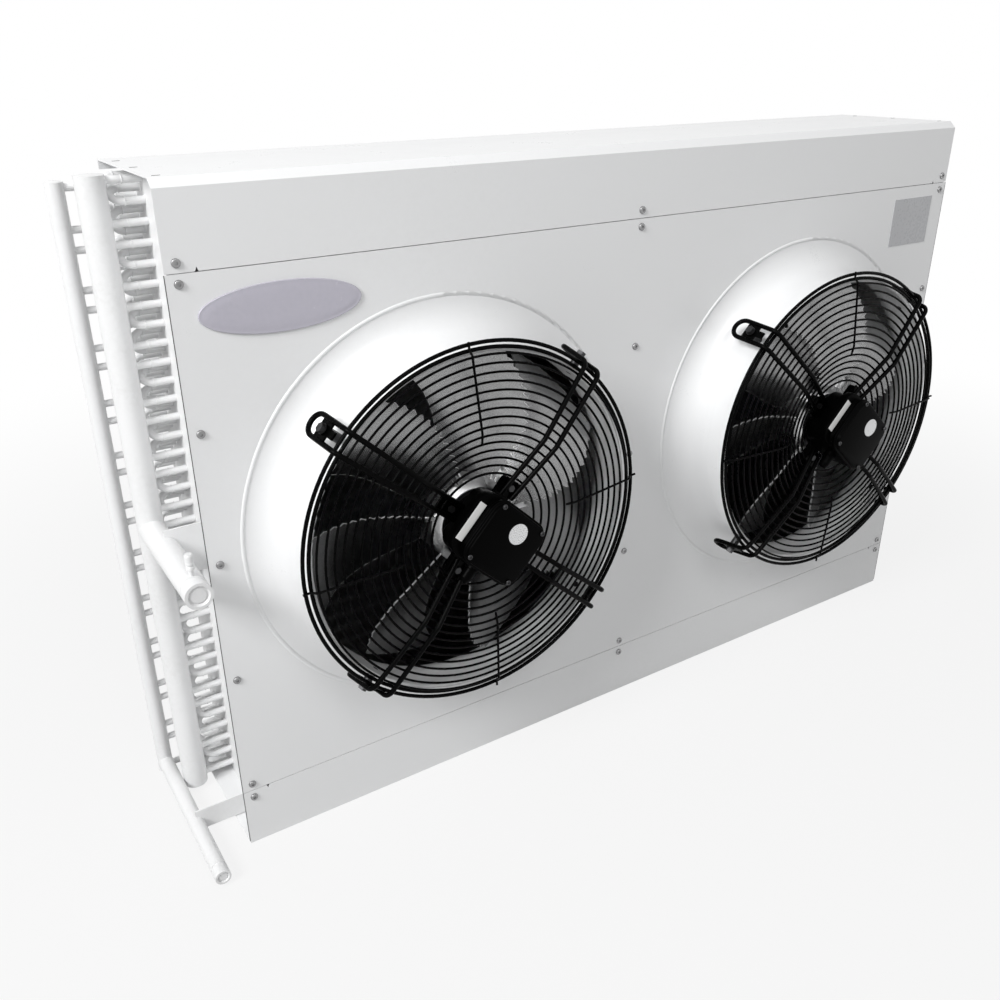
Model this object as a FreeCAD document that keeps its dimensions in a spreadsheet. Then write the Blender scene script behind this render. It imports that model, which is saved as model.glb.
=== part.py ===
import FreeCAD, Part
import math
import os

import Sketcher
from FreeCAD import Placement, Rotation, Vector

# An air-cooled refrigeration condenser: a finned coil in a painted sheet casing, with two
# axial fans that draw air through the coil and blow it out of the front.
# X runs to the right along the front, Y runs back through the coil and Z runs up. The origin
# is the middle of the casing's underside. Every piece is drawn with Y = 0 at the front face of
# the fan panel, and its placement moves it back by half the casing's depth.

SIZES = (
    ("casing_width", 1370, "casing, left edge to right edge"),
    ("casing_height", 912, "casing, underside to top"),
    ("casing_depth", 242, "casing, front face to back edge"),
    ("sheet", 1.5, "thickness of cover, panel and pan"),
    ("plate", 2, "thickness of end plates and partition"),
    ("cover_bend_y", 11, "depth of the slanted band along the cover's front edge"),
    ("cover_bend_z", 10, "height of that band"),
    ("cover_band", 100, "from the casing's top down to the seam between cover and fan panel"),
    ("bottom_seam", 91, "height of the seam between fan panel and pan"),
    ("seam_gap", 1, "open width of a seam"),
    ("seam_lip", 12, "depth of the lips turned back at the seams"),
    ("lip_relief", 38, "from the casing's edge to where a lip starts"),
    ("rear_lip", 12, "height of the lips at the back of cover and pan"),
    ("fit_gap", 0.3, "clearance between assembled sheets"),
    ("plate_inset", 31, "from the casing's edge to an end plate's outer face"),
    ("flange_margin", 3, "from the casing's edge to an end plate's flange"),
    ("screw_margin", 14.2, "from the casing's edge to the screw column"),
    ("screw_offset", 11.6, "from a seam to the screw above or below it"),
    ("screw_row_high", 625.5, "height of the upper panel screw"),
    ("screw_row_mid", 451.5, "height of the middle panel screw"),
    ("screw_row_low", 278, "height of the lower panel screw"),
    ("screw_head", 5.25, "radius of a casing screw's head"),
    ("screw_head_high", 2.8, "height of a casing screw's head"),
    ("screw_shank", 2.4, "radius of a casing screw's shank"),
    ("screw_long", 9, "length of a casing screw's shank"),
    ("screw_clearance", 0.35, "radial clearance of a casing screw"),
    ("fan_spread", 4, "from the middle of each half of the casing out to its fan axis"),
    ("fan_drop", 2.5, "from the casing's middle height down to the fan axes"),
    ("left_tilt", 4, "turn of the left guard and motor from the diagonals, degrees"),
    ("right_tilt", 1, "turn of the right guard and motor from the diagonals, degrees"),
    ("box_tilt", 1.5, "turn of the terminal boxes from the diagonals, degrees"),
    ("nozzle_ring", 290, "radius where the nozzle's flare leaves the panel"),
    ("flare", 50, "radius of the nozzle's flare"),
    ("nozzle_front", 90, "from the panel to the nozzle's rim"),
    ("rim_bead", 3, "radius of the bead rolled on the rim"),
    ("ridge", 6, "width of the ridge pressed round the nozzle"),
    ("row_pitch", 25, "height between tubes of one column"),
    ("column_pitch", 21.65, "depth between tube columns"),
    ("tube", 4.76, "outer radius of a coil tube"),
    ("tube_wall", 0.4, "wall of a coil tube"),
    ("coil_back", 78, "from the front tube column back to the casing's back edge"),
    ("fin_margin", 10.8, "fin edge to the nearest tube column"),
    ("tube_clearance", 0.05, "radial clearance of a tube in the fins"),
    ("plate_clearance", 0.2, "radial clearance of a tube in an end plate"),
    ("tube_stand", 24, "how far a tube end stands out of the left end plate"),
    ("bend_reach", 41.8, "from the left end plate to the top of a return bend"),
    ("hairpin_reach", 28.5, "from the right end plate to the top of a hairpin"),
    ("gas_tube", 17.5, "outer radius of the gas header and inlet"),
    ("gas_wall", 1.5, "wall of the gas header and inlet"),
    ("gas_x", 28.4, "from the casing's edge out to the gas header's axis"),
    ("gas_low", 2, "height of the gas header's bottom"),
    ("gas_over", 8.45, "from the top tube of the front column up to the gas header's top"),
    ("inlet_z", 445.5, "height of the inlet pipe"),
    ("inlet_reach", 52, "how far the inlet pipe stands in front of the panel"),
    ("liquid_tube", 11, "outer radius of the liquid header and outlet"),
    ("liquid_wall", 1.2, "wall of the liquid header and outlet"),
    ("liquid_x", 57, "from the casing's edge out to the liquid header's axis"),
    ("liquid_low", 1, "height of the liquid header's bottom"),
    ("liquid_over", 8.95, "from the top tube of the back column up to the liquid header's top"),
    ("outlet_z", 17, "height of the outlet pipe"),
    ("outlet_reach", 58, "how far the outlet pipe stands in front of the panel"),
    ("free_end", 18, "length of a pipe's free end, in front of the mark round it"),
    ("mark_wide", 1.6, "width of the mark round a pipe"),
    ("mark_deep", 0.5, "depth of the mark round a pipe"),
    ("stub_depth", 3, "how far a stub enters its header"),
    ("valve_y", 28, "how far the service valve stands in front of the panel"),
    ("inlet_bracket_y", 90, "depth of the inlet pipe's bracket"),
    ("inlet_bracket_z", 403, "height of that bracket's lower edge"),
    ("inlet_bracket_high", 69, "height of that bracket"),
    ("outlet_bracket_y", 62, "depth of the outlet pipe's bracket"),
    ("outlet_bracket_z", 4, "height of that bracket's lower edge"),
    ("outlet_bracket_high", 34, "height of that bracket"),
    ("bracket_foot", 22, "depth of a bracket's foot on the end plate"),
    ("rotor", 62, "outer radius of the rotor can"),
    ("rotor_wall", 10, "wall of the rotor can"),
    ("rotor_front", 78, "from the panel forward to the rotor can's front"),
    ("rotor_back", 7, "from the panel back to the rotor can's closed end"),
    ("shaft", 7.5, "radius of the motor shaft"),
    ("bearing_seat", 16, "radius of the bearings' seat"),
    ("bearing_width", 9, "width of a bearing"),
    ("running_clearance", 0.05, "radial clearance of the shaft in its bearings"),
    ("hub_tube", 20, "outer radius of the stator's hub tube"),
    ("stator", 50.5, "radius of the stator core"),
    ("motor_flange", 46, "radius of the motor's front flange"),
    ("flange_front", 94, "from the panel forward to the motor flange's face"),
    ("flange_thick", 14, "thickness of the motor flange"),
    ("blade_tip", 231, "radius of the blade tips"),
    ("blade_count", 7, "blades on a fan"),
    ("blade_sheet", 1.8, "thickness of a blade"),
    ("blade_front", 75, "from the panel forward to the trailing edges"),
    ("tip_span", 39, "angle that a blade covers at its tip, degrees"),
    ("root_span", 50, "angle that a blade covers at its root, degrees"),
    ("blade_sweep", 17, "how far a tip leads its root, degrees"),
    ("tooth_depth", 5, "depth of the saw teeth on a trailing edge"),
    ("tooth_count", 15, "saw teeth on a trailing edge"),
    ("left_blade_angle", 21, "trailing tip of the left fan's first blade, degrees"),
    ("right_blade_angle", 24, "trailing tip of the right fan's first blade, degrees"),
    ("guard_wire", 1.6, "radius of a guard ring's wire"),
    ("guard_rim_wire", 2.6, "radius of the rim rings' wire"),
    ("guard_inner", 79.4, "radius of the smallest guard ring"),
    ("guard_outer", 256.2, "radius of the outermost ring"),
    ("guard_rim_y", 97, "how far the rim rings stand in front of the panel"),
    ("ring_count", 15, "thin rings in the guard"),
    ("ring_pitch", 11.4, "distance between rings"),
    ("spoke_inner", 126, "radius where the short spokes start"),
    ("arm_rod", 3.5, "radius of an arm's rods"),
    ("arm_root_gauge", 20, "distance between an arm's rods at the motor"),
    ("arm_gauge", 29.5, "distance between an arm's rods at the rim"),
    ("arm_root", 52, "radius where the arms start"),
    ("arm_root_y", 102, "how far the arms start in front of the panel"),
    ("arm_bend", 142, "radius of the bend in the arms"),
    ("arm_bend_y", 119, "how far that bend stands in front of the panel"),
    ("arm_rim", 258, "radius where the arms turn back"),
    ("arm_rim_y", 108, "how far that turn stands in front of the panel"),
    ("loop_end", 268, "radius of the loop that ends an arm"),
    ("loop_end_y", 39, "from the panel forward to that loop"),
    ("eyelet_thick", 3, "thickness of the plates across the loops"),
    ("eyelet_long", 21, "length of those plates along the arm"),
    ("eyelet_bolt_y", 70, "from the panel forward to the guard's bolts"),
    ("eyelet_bolt", 4, "radius of the guard's bolts"),
    ("lug_bolt", 3, "radius of the bolts in the motor lugs"),
    ("lug_bolt_ring", 65, "radius of the ring of lug bolts"),
    ("lug_seat", 4, "how far a lug's seat stands in front of the flange"),
    ("lug_reach", 76, "radius of a motor lug's end"),
    ("lug_wide", 26, "width of a motor lug"),
    ("box_half", 46, "half the width of the terminal box"),
    ("box_end", 50, "terminal box, axis to its lower end"),
    ("box_step", 74, "terminal box, axis to the end of its step"),
    ("box_step_y", 112, "from the panel forward to the underside of the step"),
    ("box_front", 140, "from the panel forward to the step's face"),
    ("lid_seat", 146, "from the panel forward to the lid's seat"),
    ("lid_front", 158, "from the panel forward to the lid's face"),
    ("box_corner", 16, "corner radius of the terminal box"),
    ("box_wall", 3, "wall of the terminal box and lid"),
    ("lid_screw", 1.5, "radius of the lid screws"),
    ("gland", 10, "radius of the cable gland"),
    ("badge_long", 200, "length of the oval badge plate"),
    ("badge_high", 60, "height of the oval badge plate"),
    ("badge_inset", 129.5, "from the casing's edge to the badge's middle"),
    ("badge_drop", 50.5, "from the upper seam down to the badge's middle"),
    ("label_inset", 83, "from the casing's edge to the rating plate's middle"),
    ("label_drop", 60, "from the upper seam down to the rating plate's middle"),
    ("label_long", 100, "width of the rating plate"),
    ("label_high", 79, "height of the rating plate"),
    ("label_thick", 0.8, "thickness of the rating plate"),
    ("mount_inset", 95, "from the casing's edge to the base holes"),
    ("mount_y", 100, "distance between the base holes along the depth"),
    ("mount_hole", 5.5, "radius of the base holes"),
)

TAN_BEND = 0.414
LID_SCREWS = ((-41, -38.5), (-41, 38.5), (38, -39), (38, 39))
GROUP_ROWS = 3
COLUMNS = 4
AXIS_Y = Vector(0, 1, 0)
FORWARD = Vector(0, -1, 0)


class Size:
    """A length that knows both its number and the formula of cells that drives it."""

    def __init__(self, number, text):
        self.number = number
        self.text = text

    def __add__(self, other):
        return Size(self.number + number(other), f"({self.text} + {formula(other)})")

    def __radd__(self, other):
        return Size(number(other) + self.number, f"({formula(other)} + {self.text})")

    def __sub__(self, other):
        return Size(self.number - number(other), f"({self.text} - {formula(other)})")

    def __rsub__(self, other):
        return Size(number(other) - self.number, f"({formula(other)} - {self.text})")

    def __mul__(self, other):
        return Size(self.number * number(other), f"({self.text} * {formula(other)})")

    def __rmul__(self, other):
        return Size(number(other) * self.number, f"({formula(other)} * {self.text})")

    def __truediv__(self, other):
        return Size(self.number / number(other), f"({self.text} / {formula(other)})")

    def __neg__(self):
        return Size(-self.number, f"(0 - {self.text})")


def number(size):
    return size.number if isinstance(size, Size) else float(size)


def formula(size):
    return size.text if isinstance(size, Size) else f"{float(size):.6f}"


def whole(size):
    """The size rounded down to a whole number."""
    return Size(math.floor(size.number), f"floor({size.text})")


class Sheet:
    """The spreadsheet of driving dimensions, read as sheet.name."""

    def __init__(self, doc, rows):
        self.cells = doc.addObject("Spreadsheet::Sheet", "Sizes")
        for row, (alias, value, note) in enumerate(rows, start=1):
            self.cells.set(f"A{row}", note)
            self.cells.set(f"B{row}", str(value))
            self.cells.setAlias(f"B{row}", alias)
            setattr(self, alias, Size(float(value), f"Sizes.{alias}"))


doc = FreeCAD.newDocument("condenser")
s = Sheet(doc, SIZES)
doc.recompute()
nodes = []

half_width = s.casing_width / 2
plate_face = half_width - s.plate_inset
top_seam = s.casing_height - s.cover_band
panel_top = top_seam - s.seam_gap / 2
panel_bottom = s.bottom_seam + s.seam_gap / 2
inner = s.sheet + s.fit_gap
fan_x = half_width / 2 + s.fan_spread
fan_z = s.casing_height / 2 - s.fan_drop
first_column = s.casing_depth - s.coil_back
fin_front = first_column - s.fin_margin
throat = s.nozzle_ring - s.flare
partition_screw = -s.screw_margin
last_column = first_column + s.column_pitch * (COLUMNS - 1)
first_row = inner + s.row_pitch * 0.75
group_count = whole((s.casing_height - inner * 2) / (s.row_pitch * GROUP_ROWS))
row_count = group_count * GROUP_ROWS
gas_high = first_row + s.row_pitch * (row_count - 1) + s.gas_over
liquid_high = first_row + s.row_pitch * (row_count - 1.5) + s.liquid_over
badge_x = half_width - s.badge_inset
badge_z = top_seam - s.badge_drop
label_x = half_width - s.label_inset
label_z = top_seam - s.label_drop


def bind(item, prop, size):
    """Ties one property of an object to the cells behind a size."""
    item.setExpression(prop, formula(size))


def keep(item, label):
    """Names a finished sub-part and lists it for export."""
    item.Label = label
    nodes.append(item)
    return item


def set_back(item):
    """Moves a casing piece from the panel's front face to the casing's middle."""
    bind(item, "Placement.Base.y", -s.casing_depth / 2)
    return item


def to_fan(item, side, turn=None):
    """Moves a piece that was drawn about a fan's axis to that fan, and turns it there."""
    angle = number(turn) if turn is not None else 0
    item.Placement = Placement(Vector(0, 0, 0), Rotation(FORWARD, angle))
    bind(item, "Placement.Base.x", fan_x * side)
    bind(item, "Placement.Base.y", -s.casing_depth / 2)
    bind(item, "Placement.Base.z", fan_z)
    if isinstance(turn, Size):
        bind(item, "Placement.Rotation.Angle", turn)
    return item


def new_body(label):
    body = doc.addObject("PartDesign::Body", label)
    return keep(body, label)


def new_sketch(body, name, role, x=0, y=0, out=0):
    """Puts a sketch on one of the body's planes, shifted in the plane and out of it."""
    sketch = body.newObject("Sketcher::SketchObject", name)
    plane = [item for item in body.Origin.OriginFeatures if item.Role == role][0]
    sketch.AttachmentSupport = [(plane, "")]
    sketch.MapMode = "FlatFace"
    for axis, size in (("x", x), ("y", y), ("z", out)):
        if isinstance(size, Size):
            bind(sketch, f"AttachmentOffset.Base.{axis}", size)
    return sketch


def arc_between(start, end, radius, side):
    """The short arc from start to end; side is 1 with its centre on the left, -1 on the right."""
    chord = end.sub(start)
    rise = math.sqrt(max(radius * radius - (chord.Length / 2) ** 2, 0))
    left = Vector(-chord.y, chord.x, 0).normalize()
    middle = start.add(end).multiply(0.5)
    centre = middle.add(left.multiply(side * rise))
    first, last = (start, end) if side > 0 else (end, start)
    low = math.atan2(first.y - centre.y, first.x - centre.x)
    high = math.atan2(last.y - centre.y, last.x - centre.x)
    return Part.ArcOfCircle(Part.Circle(centre, Vector(0, 0, 1), radius), low, high)


def draw(sketch, corners):
    """Draws a closed outline. A corner is (x, y), or (x, y, radius, side) where an arc leaves it."""
    points = [Vector(number(c[0]), number(c[1]), 0) for c in corners]
    ends = []
    for index, corner in enumerate(corners):
        start, end = points[index], points[(index + 1) % len(points)]
        if len(corner) == 2:
            edge = sketch.addGeometry(Part.LineSegment(start, end), False)
            ends.append((edge, 1, 2))
        else:
            arc = arc_between(start, end, number(corner[2]), corner[3])
            edge = sketch.addGeometry(arc, False)
            ends.append((edge, 1, 2) if corner[3] > 0 else (edge, 2, 1))
    rules = []
    sizes = []
    for index, (edge, begin, _) in enumerate(ends):
        before, _, finish = ends[index - 1]
        rules.append(Sketcher.Constraint("Coincident", before, finish, edge, begin))
        sizes.append(None)
        for kind, size in (("DistanceX", corners[index][0]), ("DistanceY", corners[index][1])):
            rules.append(Sketcher.Constraint(kind, -1, 1, edge, begin, number(size)))
            sizes.append(size)
        if len(corners[index]) > 2:
            radius = corners[index][2]
            rules.append(Sketcher.Constraint("Radius", edge, number(radius)))
            sizes.append(radius)
    apply_rules(sketch, rules, sizes)


def draw_circle(sketch, x, y, radius):
    centre = Vector(number(x), number(y), 0)
    edge = sketch.addGeometry(Part.Circle(centre, Vector(0, 0, 1), number(radius)), False)
    rules = [
        Sketcher.Constraint("DistanceX", -1, 1, edge, 3, number(x)),
        Sketcher.Constraint("DistanceY", -1, 1, edge, 3, number(y)),
        Sketcher.Constraint("Radius", edge, number(radius)),
    ]
    apply_rules(sketch, rules, [x, y, radius])


def apply_rules(sketch, rules, sizes):
    """Adds constraints and ties each one that has a size to the sheet."""
    first = sketch.ConstraintCount
    sketch.addConstraint(rules)
    for index, size in enumerate(sizes, start=first):
        if isinstance(size, Size):
            name = f"size_{index}"
            sketch.renameConstraint(index, name)
            bind(sketch, f"Constraints.{name}", size)


def box_corners(x0, y0, x1, y1):
    return [(x0, y0), (x1, y0), (x1, y1), (x0, y1)]


def round_corners(x0, y0, x1, y1, radius):
    """A rectangle with round corners, anticlockwise."""
    return [
        (x0 + radius, y0),
        (x1 - radius, y0, radius, 1),
        (x1, y0 + radius),
        (x1, y1 - radius, radius, 1),
        (x1 - radius, y1),
        (x0 + radius, y1, radius, 1),
        (x0, y1 - radius),
        (x0, y0 + radius, radius, 1),
    ]


def pad(body, sketch, length, back=False, both=False):
    feature = body.newObject("PartDesign::Pad", "Pad")
    feature.Profile = sketch
    bind(feature, "Length", length)
    feature.Reversed = back
    feature.Midplane = both
    sketch.Visibility = False
    return feature


def pocket(body, sketch, length=None, back=False, both=False):
    feature = body.newObject("PartDesign::Pocket", "Pocket")
    feature.Profile = sketch
    if length is None:
        feature.Type = "ThroughAll"
    else:
        bind(feature, "Length", length)
    feature.Reversed = back
    feature.Midplane = both
    sketch.Visibility = False
    return feature


def revolve(body, sketch, axis="V_Axis"):
    feature = body.newObject("PartDesign::Revolution", "Revolution")
    feature.Profile = sketch
    feature.ReferenceAxis = (sketch, [axis])
    feature.Angle = 360
    return feature


def stack(body, feature, sketch, step, count, axis="V_Axis"):
    """Repeats a feature along one axis of its sketch."""
    pattern = body.newObject("PartDesign::LinearPattern", "Stack")
    pattern.Originals = [feature]
    pattern.Direction = (sketch, [axis])
    pattern.Mode = "Spacing"
    bind(pattern, "Offset", step)
    bind(pattern, "Occurrences", count)
    body.Tip = pattern
    return pattern


def ring(body, feature, sketch, count):
    """Repeats a feature round the axis that stands on its sketch."""
    pattern = body.newObject("PartDesign::PolarPattern", "Ring")
    pattern.Originals = [feature]
    pattern.Axis = (sketch, ["N_Axis"])
    pattern.Angle = 360
    pattern.Occurrences = count
    body.Tip = pattern
    return pattern


def solids(label, shapes):
    """One node that holds a group of separate solids."""
    item = doc.addObject("Part::Feature", label)
    item.Shape = Part.makeCompound(shapes)
    return keep(item, label)


def screw_rows():
    return (
        top_seam + s.screw_offset,
        top_seam - s.screw_offset,
        s.screw_row_high,
        s.screw_row_mid,
        s.screw_row_low,
        s.bottom_seam + s.screw_offset,
        s.bottom_seam - s.screw_offset,
    )


def screw_columns():
    return (-(half_width - s.screw_margin), partition_screw, half_width - s.screw_margin)


def front_holes(body, rows, radius, columns):
    """Round holes through the sheet behind the front face."""
    sketch = new_sketch(body, "Holes", "XZ_Plane")
    for x in columns:
        for z in rows:
            draw_circle(sketch, x, z, radius)
    return pocket(body, sketch, both=True)


def seam_lip(body, low):
    """The lip turned back at a seam, stopping short of the end plates' flanges."""
    sketch = new_sketch(body, "Lip", "YZ_Plane")
    draw(sketch, box_corners(0, low, s.seam_lip, low + s.sheet))
    pad(body, sketch, s.casing_width - s.lip_relief * 2, both=True)


def relief_notches(body, seam, rise):
    """The small notches where a lip ends."""
    sketch = new_sketch(body, "Reliefs", "XZ_Plane")
    for side in (-1, 1):
        x = (half_width - s.lip_relief + 2) * side
        draw(sketch, [(x - 2.5, seam - rise * 0.2), (x + 2.5, seam - rise * 0.2), (x, seam + rise)])
    pocket(body, sketch, s.sheet * 4, both=True)


def make_top_cover():
    body = new_body("top_cover")
    low = top_seam + s.seam_gap / 2
    top = s.casing_height
    deep = s.casing_depth
    sketch = new_sketch(body, "Section", "YZ_Plane")
    draw(sketch, [
        (0, low),
        (s.sheet, low),
        (s.sheet, top - s.cover_bend_z - s.sheet * TAN_BEND),
        (s.cover_bend_y + s.sheet * TAN_BEND, top - s.sheet),
        (deep - s.sheet, top - s.sheet),
        (deep - s.sheet, top - s.rear_lip),
        (deep, top - s.rear_lip),
        (deep, top),
        (s.cover_bend_y, top),
        (0, top - s.cover_bend_z),
    ])
    pad(body, sketch, s.casing_width, both=True)
    seam_lip(body, low)
    relief_notches(body, low, 5)
    front_holes(body, [screw_rows()[0]], s.screw_shank + s.screw_clearance, screw_columns())
    set_back(body)


def make_bottom_pan():
    body = new_body("bottom_pan")
    high = s.bottom_seam - s.seam_gap / 2
    deep = s.casing_depth
    sketch = new_sketch(body, "Section", "YZ_Plane")
    draw(sketch, [
        (0, 0),
        (deep, 0),
        (deep, s.rear_lip * 0.6),
        (deep - s.sheet, s.rear_lip * 0.6),
        (deep - s.sheet, s.sheet),
        (s.sheet, s.sheet),
        (s.sheet, high),
        (0, high),
    ])
    pad(body, sketch, s.casing_width, both=True)
    seam_lip(body, high - s.sheet)
    relief_notches(body, high, -5)
    front_holes(body, [screw_rows()[-1]], s.screw_shank + s.screw_clearance, screw_columns())
    holes = new_sketch(body, "BaseHoles", "XY_Plane")
    for x in (s.mount_inset - half_width, half_width - s.mount_inset):
        for y in (deep / 2 - s.mount_y / 2, deep / 2 + s.mount_y / 2):
            draw_circle(holes, x, y, s.mount_hole)
    pocket(body, holes, s.sheet * 4, both=True)
    set_back(body)


def make_fan_panel():
    """The front panel with both nozzles pressed out of it."""
    body = new_body("fan_panel")
    sketch = new_sketch(body, "Face", "XZ_Plane")
    draw(sketch, box_corners(-half_width, panel_bottom, half_width, panel_top))
    for side in (-1, 1):
        draw_circle(sketch, fan_x * side, fan_z, s.nozzle_ring + s.ridge)
    pad(body, sketch, s.sheet, back=True)
    for side in (-1, 1):
        nozzle = new_sketch(body, "Nozzle", "XY_Plane", x=fan_x * side, out=fan_z)
        edge = s.nozzle_ring + s.ridge
        draw(nozzle, [
            (edge, s.sheet),
            (edge, 0, s.ridge * 0.65, -1),
            (s.nozzle_ring, 0, s.flare, 1),
            (throat, -s.flare),
            (throat, -s.nozzle_front),
            (throat - s.sheet, -s.nozzle_front),
            (throat - s.sheet, -s.flare, s.flare + s.sheet, -1),
            (s.nozzle_ring, s.sheet),
        ])
        revolve(body, nozzle)
        bead = new_sketch(body, "Bead", "XY_Plane", x=fan_x * side, out=fan_z)
        draw_circle(bead, throat + s.rim_bead * 0.4, -s.nozzle_front, s.rim_bead)
        revolve(body, bead)
    seam_lip(body, panel_top - s.sheet)
    seam_lip(body, panel_bottom)
    front_holes(body, screw_rows()[1:-1], s.screw_shank + s.screw_clearance, screw_columns())
    cut_eyelet_holes(body)
    set_back(body)


def cut_eyelet_holes(body):
    """Radial holes through each nozzle wall for the guard's bolts."""
    for side in (-1, 1):
        for quarter in range(4):
            hole = body.newObject("PartDesign::SubtractiveCylinder", "EyeletHole")
            plane = [item for item in body.Origin.OriginFeatures if item.Role == "XY_Plane"][0]
            hole.AttachmentSupport = [(plane, "")]
            hole.MapMode = "FlatFace"
            angle = 45 + 90 * quarter + number(guard_turn(side))
            turn = Rotation(FORWARD, angle).multiply(Rotation(AXIS_Y, 90))
            hole.AttachmentOffset = Placement(Vector(0, 0, 0), turn)
            out_x = throat * math.cos(math.radians(angle)) * 0.95
            out_z = throat * math.sin(math.radians(angle)) * 0.95
            bind(hole, "AttachmentOffset.Base.x", fan_x * side + out_x)
            bind(hole, "AttachmentOffset.Base.y", -s.eyelet_bolt_y)
            bind(hole, "AttachmentOffset.Base.z", fan_z + out_z)
            bind(hole, "Radius", s.eyelet_bolt + s.screw_clearance)
            bind(hole, "Height", throat * 0.1)


def plate_corners(back):
    """The outline of an end plate or partition inside the cover and pan."""
    top = s.casing_height - inner
    return [
        (inner, inner),
        (back, inner),
        (back, top),
        (s.cover_bend_y + s.sheet, top),
        (inner, s.casing_height - s.cover_bend_z - s.sheet),
    ]


def tube_field(body, radius):
    """Four staggered tube holes, repeated up the coil."""
    sketch = new_sketch(body, "TubeHoles", "YZ_Plane")
    for column in range(COLUMNS):
        drop = s.row_pitch / 2 if column % 2 else 0
        draw_circle(sketch, first_column + s.column_pitch * column, first_row - drop, radius)
    first = pocket(body, sketch, both=True)
    stack(body, first, sketch, s.row_pitch, row_count)


def make_end_plate(side, label):
    body = new_body(label)
    web = new_sketch(body, "Web", "YZ_Plane", out=plate_face * side)
    draw(web, plate_corners(s.casing_depth - inner))
    pad(body, web, s.plate, back=side > 0)
    flange = new_sketch(body, "Flange", "XZ_Plane", out=-inner)
    edge = (half_width - s.flange_margin) * side
    root = (plate_face - s.plate) * side
    low, high = (edge, root) if side < 0 else (root, edge)
    draw(flange, box_corners(low, inner, high, s.casing_height - s.cover_bend_z - s.sheet))
    pad(body, flange, s.plate, back=True)
    column = screw_columns()[0 if side < 0 else 2]
    front_holes(body, screw_rows(), s.screw_shank + 0.05, [column])
    tube_field(body, s.tube + s.plate_clearance)
    set_back(body)


def make_partition():
    """The plate between the two fans, notched where the seam lips pass."""
    body = new_body("partition_plate")
    web = new_sketch(body, "Web", "YZ_Plane")
    draw(web, plate_corners(fin_front - s.fit_gap))
    pad(body, web, s.plate, both=True)
    flange = new_sketch(body, "Flange", "XZ_Plane", out=-inner)
    top = s.casing_height - s.cover_bend_z - s.sheet
    draw(flange, box_corners(-(s.screw_margin * 2), inner, s.plate / 2, top))
    pad(body, flange, s.plate, back=True)
    front_holes(body, screw_rows(), s.screw_shank + 0.05, [partition_screw])
    notches = new_sketch(body, "Notches", "YZ_Plane")
    for seam in (top_seam, s.bottom_seam):
        draw(notches, box_corners(0, seam - 4, s.seam_lip + 2, seam + 4))
    pocket(body, notches, s.screw_margin * 8, both=True)
    set_back(body)


def screw(head, high, shank, long, socket):
    """A socket button screw along +Y, its head in front of Y = 0."""
    cap = Part.makeCylinder(head, high, Vector(0, 0, 0), FORWARD)
    cap = cap.makeFillet(high * 0.6, [edge for edge in cap.Edges if edge.BoundBox.YMax < -high * 0.9])
    key = Part.makeCylinder(socket, high * 0.6, Vector(0, -high * 1.05, 0), AXIS_Y)
    return cap.cut(key).fuse(Part.makeCylinder(shank, long, Vector(0, 0, 0), AXIS_Y))


def make_casing_screws():
    one = screw(s.screw_head.number, s.screw_head_high.number, s.screw_shank.number,
                s.screw_long.number, 2)
    shapes = []
    for x in screw_columns():
        for z in screw_rows():
            copy = one.copy()
            copy.translate(Vector(number(x), 0, number(z)))
            shapes.append(copy)
    set_back(solids("casing_screws", shapes))


def make_badge():
    """The oval plate, left bare, with a bevelled edge."""
    long, high, thick = s.badge_long.number / 2, s.badge_high.number / 2, 3.0
    bevel = 4.0
    wires = []
    for grow, y in ((0, 0), (0, -thick * 0.4), (-bevel, -thick)):
        oval = Part.Ellipse(Vector(0, y, 0), long + grow, high + grow).toShape()
        oval.rotate(Vector(0, y, 0), Vector(1, 0, 0), 90)
        wires.append(Part.Wire([oval]))
    body = Part.makeLoft(wires[:2], True, True).fuse(Part.makeLoft(wires[1:], True, True))
    item = solids("badge_plate", [body.removeSplitter()])
    bind(item, "Placement.Base.x", -badge_x)
    bind(item, "Placement.Base.z", badge_z)
    set_back(item)


def make_rating_plate():
    item = doc.addObject("Part::Box", "rating_plate")
    bind(item, "Length", s.label_long)
    bind(item, "Width", s.label_thick)
    bind(item, "Height", s.label_high)
    bind(item, "Placement.Base.x", label_x - s.label_long / 2)
    bind(item, "Placement.Base.y", -s.casing_depth / 2 - s.label_thick)
    bind(item, "Placement.Base.z", label_z - s.label_high / 2)
    keep(item, "rating_plate")


def make_fin_block():
    body = new_body("fin_block")
    sketch = new_sketch(body, "Fins", "YZ_Plane")
    top = inner + s.row_pitch * row_count
    draw(sketch, box_corners(fin_front, inner, last_column + s.fin_margin, top))
    pad(body, sketch, (plate_face - s.plate - s.fit_gap) * 2, both=True)
    tube_field(body, s.tube + s.tube_clearance)
    set_back(body)


def tube_place(row, column):
    """Depth and height of one tube; rows count down from the top."""
    drop = s.row_pitch.number / 2 if column % 2 else 0
    y = first_column.number + s.column_pitch.number * column
    z = first_row.number + s.row_pitch.number * (row_count.number - 1 - row) - drop
    return y, z


def hollow_sweep(path, outer, hole):
    """A tube of round section along a path that starts straight."""
    start = path.Edges[0].valueAt(path.Edges[0].FirstParameter)
    way = path.Edges[0].tangentAt(path.Edges[0].FirstParameter)
    rims = [Part.Wire([Part.Circle(start, way, radius).toShape()]) for radius in (outer, hole)]
    return path.makePipe(Part.makeFace(rims, "Part::FaceMakerBullseye"))


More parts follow.
